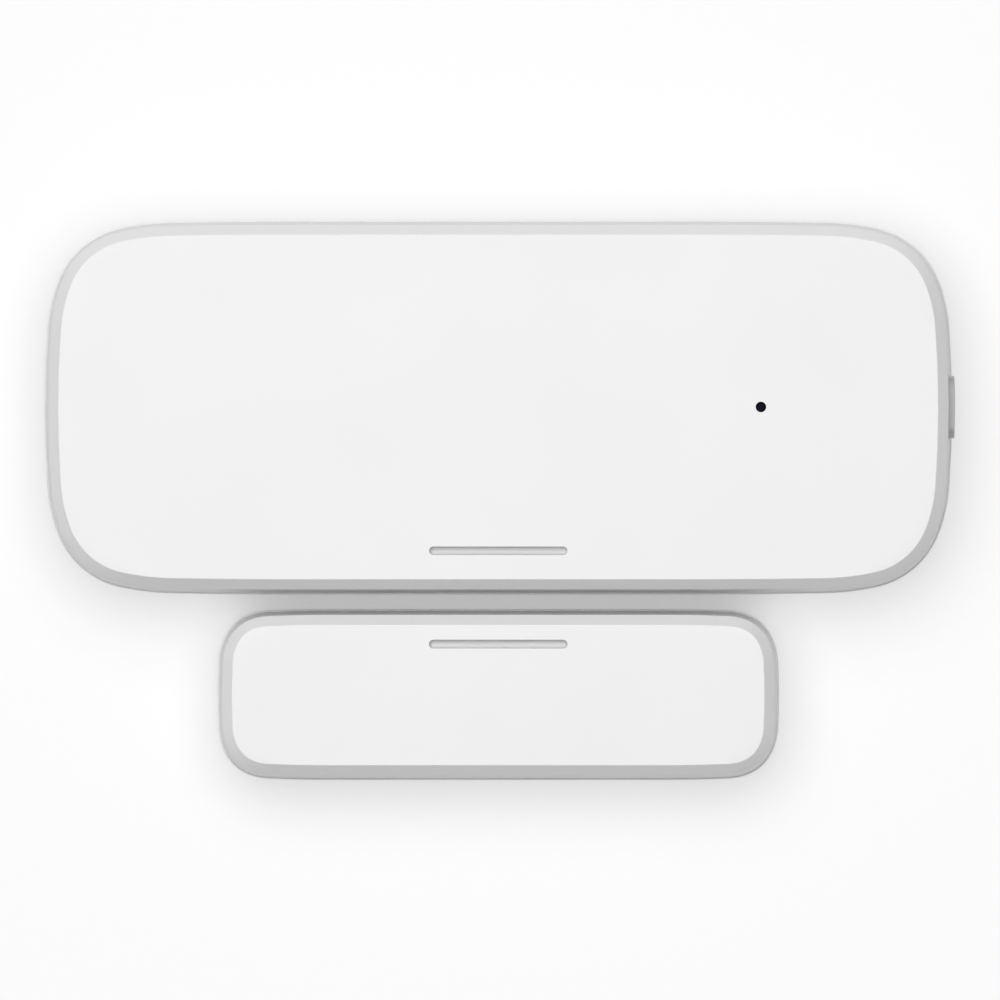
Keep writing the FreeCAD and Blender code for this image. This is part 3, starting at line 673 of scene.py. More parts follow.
def white_abs():
    """Injection-moulded ABS: satin white, with a soft highlight and hardly any grain."""
    colour = tuple(bpy.context.scene.door_sensor_colours.housing)
    return shared("Moulded white ABS", moulded, colour, 0.42, 0.3, 0.0015)


def matt_abs_painted_groove_shade():
    """The same ABS where the mould was left spark-eroded: matt, and greyer than the polished face as painted
    shade in the groove.
    """
    # Painted shade: the colour is 0.77 of the housing's, for the shade that falls in the groove
    colour = tuple(0.77 * value for value in bpy.context.scene.door_sensor_colours.housing)
    return shared("Spark-eroded white ABS", moulded, colour, 0.8, 0.12, 0.004, {"Specular IOR Level": 0.15})


def stage_floor():
    """Matt white sheet that the unit lies on, with a little light of its own for the camera, dimmed near the
    unit as painted shade.
    """
    finish = Finish("Matt white sheet", {"Roughness": 0.9, "IOR": 1.4, "Base Color": SHEET_COLOUR})
    rays = finish.node("LightPath", {}).outputs
    seen = rays["Is Camera Ray"]
    for other in ("Is Glossy Ray", "Is Transmission Ray"):
        seen = finish.node("Math", {0: seen, 1: rays[other]}, operation="MAXIMUM").outputs["Value"]
    # Painted shade: the sheet's own light is dimmed by ambient occlusion, darkest in the narrow gap between
    # the two halves, and a little darker along their sides
    nearby = finish.node("AmbientOcclusion", {"Distance": PAINTED_SHADE_REACH * MM}, samples=16)
    shade = finish.node("ValToRGB", {"Fac": nearby.outputs["AO"]})
    stops = shade.color_ramp.elements
    for position, level in SHEET_PAINTED_SHADE_LEVELS:
        stops.new(position).color = (level, level, level, 1)
    stops.remove(stops[0])
    glow = finish.node("Emission", {"Color": shade.outputs["Color"], "Strength": GLOW_STRENGTH})
    share = finish.node("Math", {0: seen, 1: GLOW_SHARE}, operation="MULTIPLY").outputs["Value"]
    mixed = finish.node("MixShader", {0: share, 1: finish.shader.outputs["BSDF"],
                                      2: glow.outputs["Emission"]})
    finish.tree.links.new(mixed.outputs["Shader"], finish.tree.nodes["Material Output"].inputs["Surface"])
    return finish.material


# Pieces
class DOORSENSOR_OT_stage(bpy.types.Operator):
    """Set up the white sheet, the soft overhead light and the camera straight above"""

    bl_idname = "door_sensor.stage"
    bl_label = "Stage, light and camera"

    def execute(self, context):
        scene = context.scene
        bm = bmesh.new()
        bmesh.ops.create_grid(bm, x_segments=1, y_segments=1, size=SHEET_REACH)
        mesh = to_mesh("sheet", bm)
        mesh.materials.append(stage_floor())
        sheet = add_object("sheet", mesh)

        lamp = bpy.data.lights.new("overhead", "AREA")
        lamp.shape = "DISK"
        lamp.size = LAMP_WIDTH
        lamp.energy = LAMP_WATTS
        head = add_object("overhead", lamp)
        head.location = LAMP_PLACE
        head.rotation_mode = "QUATERNION"
        head.rotation_quaternion = LAMP_PLACE.to_track_quat("Z", "Y")

        # A room that is white to the camera and dim to the object
        world = bpy.data.worlds.new("room")
        world.use_nodes = True
        tree = world.node_tree
        seen = add_node(tree, "LightPath", {}).outputs["Is Camera Ray"]
        level = add_node(tree, "MapRange", {"Value": seen, "To Min": ROOM_LIGHT, "To Max": 1.0})
        background = tree.nodes["Background"].inputs
        tree.links.new(level.outputs["Result"], background["Strength"])
        background["Color"].default_value = (1, 1, 1, 1)
        scene.world = world

        camera = bpy.data.cameras.new("camera")
        camera.sensor_width = 36.0
        camera.lens = LENS
        camera.clip_start = 0.5
        camera.clip_end = 20.0
        eye = add_object("camera", camera)
        eye.location = EYE
        scene.camera = eye
        scene.view_settings.view_transform = "Standard"
        return {"FINISHED"}


def cover_shell(outline, top):
    """A cover with drafted sides, a chamfered front and an open back."""
    sizes = bpy.context.scene.door_sensor_sizes
    width = sizes.chamfer_width / MM
    edge = sizes.edge_radius / MM
    bm = outline_face(outline, COVER_STEP, SEAM_Z + 0.1)
    lower, upper = thicken(bm, 0.1)
    side = COVER_STEP + DRAFT
    front = (
        (COVER_STEP, SEAM_Z + 0.2, 0.0),
        (side, top - sizes.chamfer_depth / MM, edge),
        (side + width, top, edge),
        (side + width + 1, top, 0.0),
    )
    follow(bm, upper, rounded(front))
    inner = COVER_STEP + WALL
    back = (
        (COVER_STEP, SEAM_Z + 0.1, 0.0),
        (COVER_STEP, SEAM_Z, 0.06),
        (inner, SEAM_Z, 0.12),
        (inner, top - FRONT, 0.4),
        (inner + 2, top - FRONT, 0.0),
    )
    follow(bm, lower, rounded(back))
    return bm


def groove(y, top):
    """The cutter of an alignment groove, with a round bottom and round ends."""
    bm = round_slab((GROOVE_LENGTH, 2 * GROOVE_RADIUS), GROOVE_RADIUS, 12)
    lower, upper = thicken(bm, 1.0)
    straight = GROOVE_RADIUS - GROOVE_DEPTH
    profile = [(0.0, 0.0), (0.0, straight)]
    for step in range(1, 9):
        angle = math.radians(10 * step)
        profile.append((GROOVE_RADIUS * (1 - math.cos(angle)), straight - GROOVE_RADIUS * math.sin(angle)))
    follow(bm, lower, profile)
    return laid(bm, (0, y, top))


def grooved(bm, y, top):
    """Cut a groove into a front, break the front's edges, and give the groove the second material, which
    carries painted shade.
    """
    bm = break_edges(combined(bm, groove(y, top), "DIFFERENCE"), 0.04)
    half = GROOVE_LENGTH / 2 + 0.05

    def inside(at, way):
        return top - 1 < at.z < top - 0.02 and abs(at.y - y) < GROOVE_RADIUS and abs(at.x) < half

    return paint(bm, 1, inside)


class DOORSENSOR_OT_front_cover(bpy.types.Operator):
    """Build the sensor's front with its chamfer, groove, pinhole and button slot, and the ribs inside it"""

    bl_idname = "door_sensor.front_cover"
    bl_label = "Front cover"

    def execute(self, context):
        inside = bmesh.new()
        root = CEILING + 0.5
        add_post(inside, LIGHT_X, 0, BOSS_RADIUS, (CEILING - BOSS_HEIGHT, root))
        add_box(inside, RIB_X, RIB_Y, (CEILING - RIB_HEIGHT, root))
        rail_z = (BUTTON_Z - RAIL_DROP, root)
        start = button_low.x - 0.8
        for side in (-1, 1):
            add_box(inside, (start, SENSOR_LENGTH / 2 - 1.1), sorted(side * y for y in RAIL_Y), rail_z)
            add_box(inside, (start, start + 0.4), sorted(side * y for y in HOOK_Y), rail_z)
        bm = combined(cover_shell(SENSOR_OUTLINE, SENSOR_TOP), inside, "UNION")
        cuts = bmesh.new()
        add_post(cuts, LIGHT_X, 0, BORE_RADIUS, (CEILING - 5, CEILING))
        add_post(cuts, LIGHT_X, 0, PINHOLE_RADIUS, (CEILING - 1, SENSOR_TOP + 1))
        bm = combined(bm, cuts, "DIFFERENCE")
        slot = laid(prism(round_slab(*BUTTON_SLOT), 6.0), (BUTTON_SLOT_X, 0, BUTTON_Z), ALONG_X)
        bm = grooved(combined(bm, slot, "DIFFERENCE"), GROOVE_Y, SENSOR_TOP)
        finishes = [white_abs(), matt_abs_painted_groove_shade()]
        make_piece("front_cover_shell", bm, "sensor_cover", finishes, ("front_cover",))
        return {"FINISHED"}


class DOORSENSOR_OT_magnet_cover(bpy.types.Operator):
    """Build the magnet block's front with its chamfer and groove, and the ribs that keep the bar down"""

    bl_idname = "door_sensor.magnet_cover"
    bl_label = "Magnet cover"

    def execute(self, context):
        ribs = bmesh.new()
        across = around(MAGNET_Y, MAGNET_RIB_WIDTH)
        for x in MAGNET_RIBS_X:
            add_box(ribs, around(x, RIB_THICKNESS), across, (MAGNET_RIB_LOW, MAGNET_CEILING + 0.5))
        bm = combined(cover_shell(MAGNET_OUTLINE, MAGNET_TOP), ribs, "UNION")
        bm = grooved(bm, MAGNET_GROOVE_Y, MAGNET_TOP)
        finishes = [white_abs(), matt_abs_painted_groove_shade()]
        make_piece("magnet_cover_shell", bm, "magnet_lid", finishes, ("magnet_cover",))
        return {"FINISHED"}


def back_plate(outline, pad, holes):
    """A back plate with its bevelled back edge, pad recess and screw holes."""
    bevel_z = PLATE_Z + PLATE_BEVEL
    bm = outline_face(outline, 0.0, bevel_z + 0.3)
    lower, upper = thicken(bm, 0.2)
    follow(bm, upper, rounded(((0.0, bevel_z + 0.5, 0.0), (0.0, PARTING_Z, 0.05), (1.0, PARTING_Z, 0.0))))
    back = (
        (0.0, bevel_z + 0.3, 0.0),
        (0.0, bevel_z, 0.15),
        (PLATE_BEVEL, PLATE_Z, 0.15),
        (PLATE_BEVEL + 1, PLATE_Z, 0.0),
    )
    follow(bm, lower, rounded(back))
    cuts = bmesh.new()
    for x, y, radius in holes:
        add_post(cuts, x, y, radius, (PLATE_Z - 1, PARTING_Z + 1))
    bm = combined(bm, cuts, "DIFFERENCE")
    pocket = laid(prism(round_slab(pad, 2.1), 1.5), (0, outline[2], -0.6))
    return break_edges(combined(bm, pocket, "DIFFERENCE"), 0.06)


def inner_walls(node):
    """What stands on a back plate, cut off the CAD node just above the plate and rooted in it."""
    bm = cad_copy(node)
    cut = sliced(bm, (0, 0, PARTING_Z + 0.02), (0, 0, 1), True)
    made = bmesh.ops.extrude_edge_only(bm, edges=only(cut["geom_cut"], bmesh.types.BMEdge))
    bmesh.ops.translate(bm, verts=only(made["geom"], bmesh.types.BMVert), vec=(0, 0, -WALL_ROOT))
    bmesh.ops.triangle_fill(bm, use_beauty=True, edges=[edge for edge in bm.edges if edge.is_boundary])
    bmesh.ops.recalc_face_normals(bm, faces=bm.faces[:])
    return break_edges(bm, 0.05)


class DOORSENSOR_OT_back_cover(bpy.types.Operator):
    """Build the sensor's back plate, with the cell bay, tongues and board posts on it"""

    bl_idname = "door_sensor.back_cover"
    bl_label = "Back cover"

    def execute(self, context):
        plate = back_plate(SENSOR_OUTLINE, PAD_RECESS, SCREW_HOLES)
        for name, bm in (("back_cover_plate", plate), ("cell_bay", inner_walls("back_cover"))):
            make_piece(name, bm, "sensor_base", [white_abs()], ("back_cover",))
        return {"FINISHED"}


class DOORSENSOR_OT_magnet_back_plate(bpy.types.Operator):
    """Build the magnet block's back plate, with the cradle on it"""

    bl_idname = "door_sensor.magnet_back_plate"
    bl_label = "Magnet back plate"

    def execute(self, context):
        plate = back_plate(MAGNET_OUTLINE, MAGNET_PAD_RECESS, MAGNET_HOLES)
        for name, bm in (("magnet_plate", plate), ("magnet_cradle", inner_walls("magnet_back_plate"))):
            make_piece(name, bm, "magnet_base", [white_abs()], ("magnet_back_plate",))
        return {"FINISHED"}


class DOORSENSOR_OT_side_button(bpy.types.Operator):
    """Build the crowned side button on its flange"""

    bl_idname = "door_sensor.side_button"
    bl_label = "Side button"

    def execute(self, context):
        reach = button_high.x - button_low.x
        cap = prism(round_slab(*BUTTON_CAP), reach)
        for step in range(-7, 8):
            sliced(cap, (step * CROWN_SLICE, 0, 0), (1, 0, 0))
        for vert in cap.verts:
            if vert.co.z > reach / 2:
                vert.co.z -= BUTTON_CROWN - math.sqrt(BUTTON_CROWN**2 - vert.co.x**2)
        bm = combined(prism(round_slab(*BUTTON_FLANGE), FLANGE_DEPTH), cap, "UNION")
        break_edges(laid(bm, (button_low.x, 0, BUTTON_Z), ALONG_X), 0.16, 3)
        colour = tuple(context.scene.door_sensor_colours.button)
        # Moulded ABS, a little glossier than the housing, because it is touched
        grey = moulded("Moulded grey ABS", colour, 0.36, 0.25, 0.001)
        make_piece("side_button_cap", bm, "button", [grey], ("side_button",))
        return {"FINISHED"}


class DOORSENSOR_OT_light_pipe(bpy.types.Operator):
    """Build the smoked light pipe with its domed tip in the pinhole"""

    bl_idname = "door_sensor.light_pipe"
    bl_label = "Light pipe"

    def execute(self, context):
        shoulder = CEILING - 0.05
        profile = (
            (0.0, pipe_low.z, 0.0),
            (1.3, pipe_low.z, 0.08),
            (1.3, shoulder, 0.08),
            (0.45, shoulder, 0.04),
            (0.45, pipe_high.z, 0.2),
            (0.0, pipe_high.z, 0.0),
        )
        bm = laid(lathe(profile), (LIGHT_X, 0, 0))
        colour = tuple(context.scene.door_sensor_colours.light_pipe)
        # Smoked polycarbonate, clear enough for the light and nearly black without it
        smoked = moulded("Smoked polycarbonate", colour, 0.3, 0.5, 0.0004, {"Specular IOR Level": 0.01})
        make_piece("light_pipe_rod", bm, "sensor_cover", [smoked], ("light_pipe",))
        return {"FINISHED"}


def cell_shape(node, nub_side):
    """One AAA cell: crimped film jacket, steel ends and the insulating ring round its nub."""
    low, high = place(node)
    radius = (high.z - low.z) / 2
    length = high.x - low.x
    shoulder = length - 1.2
    profile = (
        (0.0, 0.15, 0.0),
        (2.7, 0.15, 0.2),
        (3.0, 0.0, 0.1),
        (4.2, 0.0, 0.12),
        (4.4, 0.28, 0.06),
        (4.7, 0.28, 0.05),
        (4.78, 0.04, 0.03),
        (radius, 0.04, 0.4),
        (radius, shoulder - 8.4, 0.0),
        (radius, shoulder - 7.9, 0.0),
        (radius, shoulder - 6.8, 0.0),
        (radius, shoulder, 0.42),
        (4.7, shoulder, 0.06),
        (4.62, shoulder - 0.22, 0.05),
        (2.5, shoulder - 0.22, 0.05),
        (2.4, shoulder - 0.05, 0.04),
        (2.0, shoulder - 0.05, 0.08),
        (1.9, shoulder + 0.2, 0.1),
        (1.9, length, 0.4),
        (0.0, length, 0.0),
    )
    bm = lathe(profile, 96)
    for face in bm.faces:
        at = face.calc_center_median()
        out = math.hypot(at.x, at.y)
        if (out < 4.5 and at.z < 1) or (out < 2.45 and at.z > 1):
            face.material_index = 1
        elif out < 4.64:
            face.material_index = 2 if at.z > 1 else 1
        elif out > 5 and (shoulder - 8.4 < at.z < shoulder - 7.9 or at.z > shoulder - 6.8):
            face.material_index = 3
    axis = middle(node)
    if nub_side > 0:
        return laid(bm, (low.x, axis.y, axis.z), ALONG_X)
    return laid(bm, (high.x, axis.y, axis.z), Matrix.Rotation(math.pi, 4, "Z") @ ALONG_X)


class DOORSENSOR_OT_cells(bpy.types.Operator):
    """Build the two AAA cells, with their film jackets, steel ends and nubs"""

    bl_idname = "door_sensor.cells"
    bl_label = "AAA cells"

    def execute(self, context):
        # Shrunk PVC film, printed and satin: its gloss drifts, and it follows small dents of the can
        jacket = moulded("Shrunk PVC film", tuple(context.scene.door_sensor_colours.jacket), 0.34, 1.8, 0.012)
        pale = moulded("Shrunk PVC film, pale print", linear("#D5CFC0"), 0.34, 1.8, 0.012)
        # Deep-drawn steel with bright nickel, scuffed by the contacts
        steel = worked_metal("Nickel-plated steel", "#D9D8D2", "#C3C2BC", 0.24, 0.08, 0.9, 0.003, (1, 3, 1))
        # Pressed fibre, dull and slightly mottled
        fibre = moulded("Pressed fibre washer", linear("#8F938E"), 0.85, 0.15, 0.01)
        finishes = [jacket, steel, fibre, pale]
        for node, name, side in (("battery_cell_upper", "upper_cell", 1),
                                 ("battery_cell_lower", "lower_cell", -1)):
            make_piece(name, cell_shape(node, side), "sensor_base", finishes, (node,))
        return {"FINISHED"}


class DOORSENSOR_OT_contacts(bpy.types.Operator):
    """Build the three stamped contacts with their leaves, dimples and tails"""

    bl_idname = "door_sensor.contacts"
    bl_label = "Cell contacts"

    def execute(self, context):
        # Nickel-plated spring steel strip: bright, with rolling lines along the strip
        strip = worked_metal("Nickel-plated spring steel", "#DAD8CF", "#C2C0B6", 0.25, 0.07, 0.6, 0.004,
                             (1, 1, 5))
        for node in ("contact_bridge", "contact_positive", "contact_negative"):
            dressed(node, node + "_strip", "sensor_base", [strip], 0.06)
        return {"FINISHED"}


class DOORSENSOR_OT_circuit_board(bpy.types.Operator):
    """Build the board with its lacquer, cut edges, vias, test pads, print and solder"""

    bl_idname = "door_sensor.circuit_board"
    bl_label = "Circuit board"

    def execute(self, context):
        green = solder_mask("Green solder mask", "#14502B", "#1F7A40", 0.3)
        # Routed glass-epoxy laminate: its cut edge is dull straw, with the layers of glass cloth
        edge = moulded("Cut glass-epoxy laminate", linear("#B9AE7C"), 0.7, 0.2, 0.01)
        bm = paint(break_edges(cad_copy("circuit_board"), 0.03), 1, upright)
        make_piece("board_panel", bm, "sensor_base", [green, edge], ("circuit_board",))

        # Plated holes, and the row of round pads that the maker's test pins touch
        via = lathe(((0.13, 0.0, 0.0), (0.28, 0.0, 0.0), (0.28, 0.03, 0.01), (0.13, 0.03, 0.01),
                     (0.13, 0.0, 0.0)), 16)
        pad = lathe(((0.0, 0.0, 0.0), (0.5, 0.0, 0.0), (0.5, 0.035, 0.015), (0.0, 0.035, 0.0)), 24)
        pads = repeated(via, [(BOARD_LEFT + x, y, BOARD_TOP) for x, y in VIAS])
        joined(pads, repeated(pad, [(BOARD_LEFT + x, y, BOARD_TOP) for x, y in TEST_PADS]))
        make_piece("board_pads", pads, "sensor_base", [gold_plate()])
        # Printed outlines round the parts, in white ink
        ink = moulded("White legend ink", linear("#E8E8E2"), 0.6, 0.1, 0.002)
        lines = bmesh.new()
        top = (BOARD_TOP - 0.01, BOARD_TOP + 0.02)
        for node, room in PRINT_ROOM.items():
            low, high = place(node)
            add_outline(lines, (low.x - room, high.x + room), (low.y - room, high.y + room), top, 0.15)
        for x, y in SMALL_PARTS:
            add_outline(lines, around(BOARD_LEFT + x, 2.3), around(y, 1.4), top, 0.12)
        make_piece("board_print", lines, "sensor_base", [ink])
        make_piece("solder_joints", self.joints(), "sensor_base", [solder()])
        return {"FINISHED"}

    def joints(self):
        """Solder on the contact tails, the reed switch's feet, the switch's legs and other parts' ends."""
        spots = []
        for node in ("contact_positive", "contact_negative"):
            spots.append((place(node)[1].x - 0.7, middle(node).y, (1.0, 1.15, 0.5)))
        low, high = place("reed_switch_leads")
        spots += [(x, (low.y + high.y) / 2, (1.0, 0.7, 0.34)) for x in (low.x + 0.8, high.x - 0.8)]
        low, high = place("tact_switch_body")
        spots += [(x, y, (0.45, 0.5, 0.42)) for x in (low.x + 0.8, high.x - 0.7)
                  for y in (low.y - 0.5, high.y + 0.5)]
        spots += [(BOARD_LEFT + x + end, y, (0.28, 0.42, 0.3)) for x, y in SMALL_PARTS
                  for end in (-0.85, 0.85)]
        low, high = place("buffer_capacitor")
        spots += [(x, (low.y + high.y) / 2, (0.4, 0.55, 0.25)) for x in (low.x - 0.15, high.x + 0.15)]
        bm = bmesh.new()
        for x, y, size in spots:
            joined(bm, laid(dome(size), (x, y, BOARD_TOP)))
        return bm


class DOORSENSOR_OT_board_screws(bpy.types.Operator):
    """Build the two pan-head screws with their cross recesses and threads"""

    bl_idname = "door_sensor.board_screws"
    bl_label = "Board screws"

    def execute(self, context):
        low, high = place("board_screws")
        profile = [(0.0, -2.5, 0.0), (0.4, -2.5, 0.05), (0.6, -2.25, 0.0)]
        for turn in range(4):
            start = -2.2 + 0.5 * turn
            profile += [(0.62, start, 0.0), (0.85, start + 0.2, 0.02), (0.62, start + 0.4, 0.0)]
        profile += [(0.7, -0.05, 0.0), (0.75, 0.0, 0.0)]
        # The pan head, whose radius also sets the screws in the corners of their box
        head = 1.6
        profile += [(head, 0.0, 0.06), (head, 0.5, 0.25), (1.2, 1.05, 0.4), (0.0, 1.1, 0.0)]
        cross = bmesh.new()
        for x, y in ((1.9, 0.4), (0.4, 1.9)):
            add_box(cross, around(0, x), around(0, y), (0.5, 1.4))
        add_post(cross, 0, 0, 0.42, (0.35, 1.4), 16)
        screw = break_edges(combined(lathe(profile, 48), cross, "DIFFERENCE"), 0.03, 2, 50.0)
        places = [(low.x + head, low.y + head, BOARD_TOP), (high.x - head, high.y - head, BOARD_TOP)]
        # Cold-headed steel with blue-white zinc: a greyish sheen, turned marks on the head
        zinc = worked_metal("Zinc-plated steel", "#C3C7CC", "#A4A8AE", 0.32, 0.08, 0.4, 0.004)
        make_piece("pan_head_screws", repeated(screw, places), "sensor_base", [zinc],
                   ("board_screws",))
        return {"FINISHED"}


class DOORSENSOR_OT_reed_switch(bpy.types.Operator):
    """Build the sealed glass tube, the two blades inside it and its bent leads"""

    bl_idname = "door_sensor.reed_switch"
    bl_label = "Reed switch"

    def execute(self, context):
        low, high = place("reed_switch_glass")
        at = middle("reed_switch_glass")
        half = (high.x - low.x) / 2
        radius = (high.z - low.z) / 2
        end = half - 1.5
        bore = lathe(((0.0, -end, 0.0), (0.78, -end, 0.35), (0.78, end, 0.35), (0.0, end, 0.0)))
        bmesh.ops.reverse_faces(bore, faces=bore.faces[:])
        profile = (
            (0.0, -half, 0.0),
            (0.5, -half, 0.22),
            (radius, 1.1 - half, 0.8),
            (radius, half - 1.1, 0.8),
            (0.5, half, 0.22),
            (0.0, half, 0.0),
        )
        tube = laid(joined(lathe(profile), bore), at, ALONG_X)
        # Drawn lead glass, faintly green, with flame-sealed ends
        glass = clear_glass("Drawn green-tinted glass", "#CDE6D6", 0.02)
        make_piece("reed_tube", tube, "sensor_base", [glass], ("reed_switch_glass",))

        blades = bmesh.new()
        for side in (-1, 1):
            x = sorted((at.x - side * 0.8, at.x + side * (half + 0.1)))
            add_box(blades, x, around(at.y, 0.8), around(at.z + side * 0.16, 0.14))
        break_edges(blades, 0.03)
        # Rolled nickel-iron, tinned where it is soldered: grey-white, with rolling lines along the blade
        alloy = worked_metal("Rolled nickel-iron", "#CCCBC6", "#AFAEA9", 0.3, 0.08, 0.4, 0.004, (0.3, 3, 3))
        make_piece("reed_blades", blades, "sensor_base", [alloy])
        dressed("reed_switch_leads", "reed_leads", "sensor_base", [alloy], 0.04)
        return {"FINISHED"}


class DOORSENSOR_OT_radio_module(bpy.types.Operator):
    """Build the radio's own board with its half-round edge pads, its pressed can and its copper antenna"""

    bl_idname = "door_sensor.radio_module"
    bl_label = "Radio module"

    def execute(self, context):
        low, high = place("radio_module")
        first, pitch = EDGE_PADS
        notches = [(low.x + first + pitch * step, y) for step in range(9) for y in (low.y, high.y)]
        pads = bmesh.new()
        cuts = bmesh.new()
        for x, y in notches:
            add_box(pads, around(x, 0.8), around(y, 1.5), (high.z - 0.02, high.z + 0.015))
            add_post(cuts, x, y, 0.28, (low.z - 1, high.z + 1), 20)
        keep = bmesh.new()
        add_box(keep, (low.x, high.x), (low.y, high.y), (low.z - 1, high.z + 1))
        bm = joined(block("radio_module", 0.2, 3), combined(pads, keep, "INTERSECT"))
        bm = combined(bm, cuts, "DIFFERENCE")

        def plated(at, way):
            near = any(math.hypot(at.x - x, at.y - y) < 0.3 for x, y in notches)
            return at.z > high.z + 0.01 or (near and upright(at, way))

        paint(paint(bm, 1, upright), 2, plated)
        blue = solder_mask("Blue-black solder mask", "#10182A", "#1B2A48", 0.35)
        edge = moulded("Cut laminate of the module", linear("#8E8B6A"), 0.7, 0.2, 0.01)
        finishes = [blue, edge, gold_plate()]
        make_piece("module_panel", bm, "sensor_base", finishes, ("radio_module",))

        outward = [(x, y + (0.12 if y > low.y else -0.12), low.z) for x, y in notches]
        feet = repeated(dome((0.42, 0.34, 0.5)), outward)
        make_piece("module_solder", feet, "sensor_base", [solder()])

        low, high = place("radio_shield_can")
        gaps = bmesh.new()
        for step in range(4):
            add_box(gaps, around(low.x + 1.75 + 2.5 * step, 1.1), (low.y - 1, high.y + 1),
                    (low.z - 1, low.z + 0.16))
        add_post(gaps, low.x + 1.5, high.y - 1.5, 0.3, (high.z - 0.12, high.z + 1), 24)
        can = break_edges(combined(block("radio_shield_can", 0.55, 6), gaps, "DIFFERENCE"), 0.14, 3)
        make_piece("shield_can", can, "sensor_base", [can_steel()], ("radio_shield_can",))

        # Etched copper under clear lacquer: orange, even, with soft etched edges
        copper = worked_metal("Etched copper", "#D89A68", "#C2824F", 0.3, 0.05, 0.5, 0.002)
        dressed("module_antenna", "antenna_track", "sensor_base", [copper], 0.03)
        return {"FINISHED"}


class DOORSENSOR_OT_board_parts(bpy.types.Operator):
    """Build the chip, crystal, capacitor, light and small parts on the board"""

    bl_idname = "door_sensor.board_parts"
    bl_label = "Parts on the board"

    def execute(self, context):
        self.chip()
        self.crystal()
        self.capacitor()
        self.light()
        self.small_parts()
        return {"FINISHED"}

    def chip(self):
        """The controller: a moulded body on a frame of tinned leads, with a moulded dot at its first."""
        low, high = place("controller_chip")
        size = high - low
        body = prism(round_slab((size.x - 0.1, size.y - 0.1), 0.12, 3), size.z - 0.05)
        laid(body, foot("controller_chip", 0.05))
        dot = bmesh.new()
        add_post(dot, low.x + 0.75, high.y - 0.75, 0.28, (high.z - 0.06, high.z + 1), 24)
        body = break_edges(combined(body, dot, "DIFFERENCE"), 0.05)
        leads = bmesh.new()
        first, pitch = CHIP_LEADS
        for step in range(8):
            along = first + pitch * step
            for side in (low.x, high.x):
                add_box(leads, around(side, 0.5), around(low.y + along, 0.26), (low.z, low.z + 0.2))
            for side in (low.y, high.y):
                add_box(leads, around(low.x + along, 0.26), around(side, 0.5), (low.z, low.z + 0.2))
        bm = joined(body, paint(break_edges(leads, 0.04), 1))
        make_piece("chip_body", bm, "sensor_base", [chip_epoxy(), solder()],
                   ("controller_chip",))

    def crystal(self):
        """The clock crystal: a drawn can lying on the board, with its two legs at the glass end."""
        low, high = place("clock_crystal")
        radius = (high.x - low.x) / 2
        length = high.y - low.y
        profile = (
            (0.0, 0.0, 0.0),
            (radius - 0.12, 0.0, 0.1),
            (radius - 0.12, 0.35, 0.03),
            (radius, 0.45, 0.05),
            (radius, length, 0.45),
            (0.0, length, 0.0),
        )
        at = middle("clock_crystal")
        can = laid(lathe(profile, 48), (at.x, low.y, at.z), Matrix.Rotation(-math.pi / 2, 4, "X"))
        legs = bmesh.new()
        for side in (-0.35, 0.35):
            add_box(legs, around(at.x + side, 0.18), (low.y - 0.75, low.y + 0.1), around(at.z, 0.18))
            add_box(legs, around(at.x + side, 0.18), (low.y - 0.75, low.y - 0.57), (low.z, at.z))
        bm = joined(can, break_edges(legs, 0.05))
        make_piece("crystal_can", bm, "sensor_base", [can_steel()], ("clock_crystal",))

    def capacitor(self):
        """The buffer capacitor: an aluminium can with a rolled neck, a printed half and a moulded base."""
        low, high = place("buffer_capacitor")
        size = high - low
        radius = 2.5
        profile = (
            (0.0, 0.5, 0.0),
            (radius, 0.5, 0.1),
            (radius, 1.05, 0.1),
            (radius - 0.2, 1.3, 0.14),
            (radius, 1.55, 0.1),
            (radius, size.z, 0.35),
            (0.0, size.z, 0.0),
        )
        can = lathe(profile, 72)
        print_edge = 1.15
        sliced(can, (print_edge, 0, 0), (1, 0, 0))
        paint(can, 1, lambda at, way: at.x > print_edge and way.z > 0.5)
        base = prism(round_slab(size.xy, 0.7, 5), 0.7)
        bm = laid(joined(can, paint(break_edges(base, 0.06), 2)), foot("buffer_capacitor"))
        # Drawn aluminium: bright and cool, with fine rings; black print on one side; black moulded base
        shell = worked_metal("Drawn aluminium", "#D7D9DC", "#C6C8CB", 0.3, 0.06, 0.6, 0.003, (1, 1, 6))
        mark = moulded("Black print on aluminium", linear("#2A2B2E"), 0.45, 0.2, 0.002)
        finishes = [shell, mark, chip_epoxy()]
        make_piece("capacitor_can", bm, "sensor_base", finishes, ("buffer_capacitor",))

    def light(self):
        """The status light: a small laminate with plated ends under a clear cast lens."""
        low, high = place("status_led")
        at = middle("status_led")
        base = bmesh.new()
        add_box(base, (low.x + 0.02, high.x - 0.02), (low.y, high.y), (low.z, low.z + 0.28))
        paint(break_edges(base, 0.03), 1, lambda spot, way: abs(spot.x - at.x) > 0.72)
        lens = prism(round_slab((1.35, high.y - low.y - 0.06), 0.15, 4), high.z - low.z - 0.27)
        laid(lens, foot("status_led", 0.27))
        bm = joined(base, paint(break_edges(lens, 0.08, 3), 2))
        white = moulded("White lamp laminate", linear("#E9E7DC"), 0.5, 0.1, 0.002)
        resin = clear_glass("Cast clear epoxy", "#EDEBD8", 0.08)
        make_piece("lamp_body", bm, "sensor_base", [white, gold_plate(), resin], ("status_led",))

    def small_parts(self):
        """The small resistors and capacitors, with tinned ends."""
        bm = bmesh.new()
        for number, (x, y) in enumerate(SMALL_PARTS):
            x += BOARD_LEFT
            body = bmesh.new()
            add_box(body, around(x, 1.1), around(y, 0.74), (BOARD_TOP + 0.02, BOARD_TOP + 0.56))
            joined(bm, paint(break_edges(body, 0.03), number % 2))
            ends = bmesh.new()
            for side in (-0.64, 0.64):
                add_box(ends, around(x + side, 0.32), around(y, 0.8), (BOARD_TOP, BOARD_TOP + 0.6))
            joined(bm, paint(break_edges(ends, 0.06), 2))
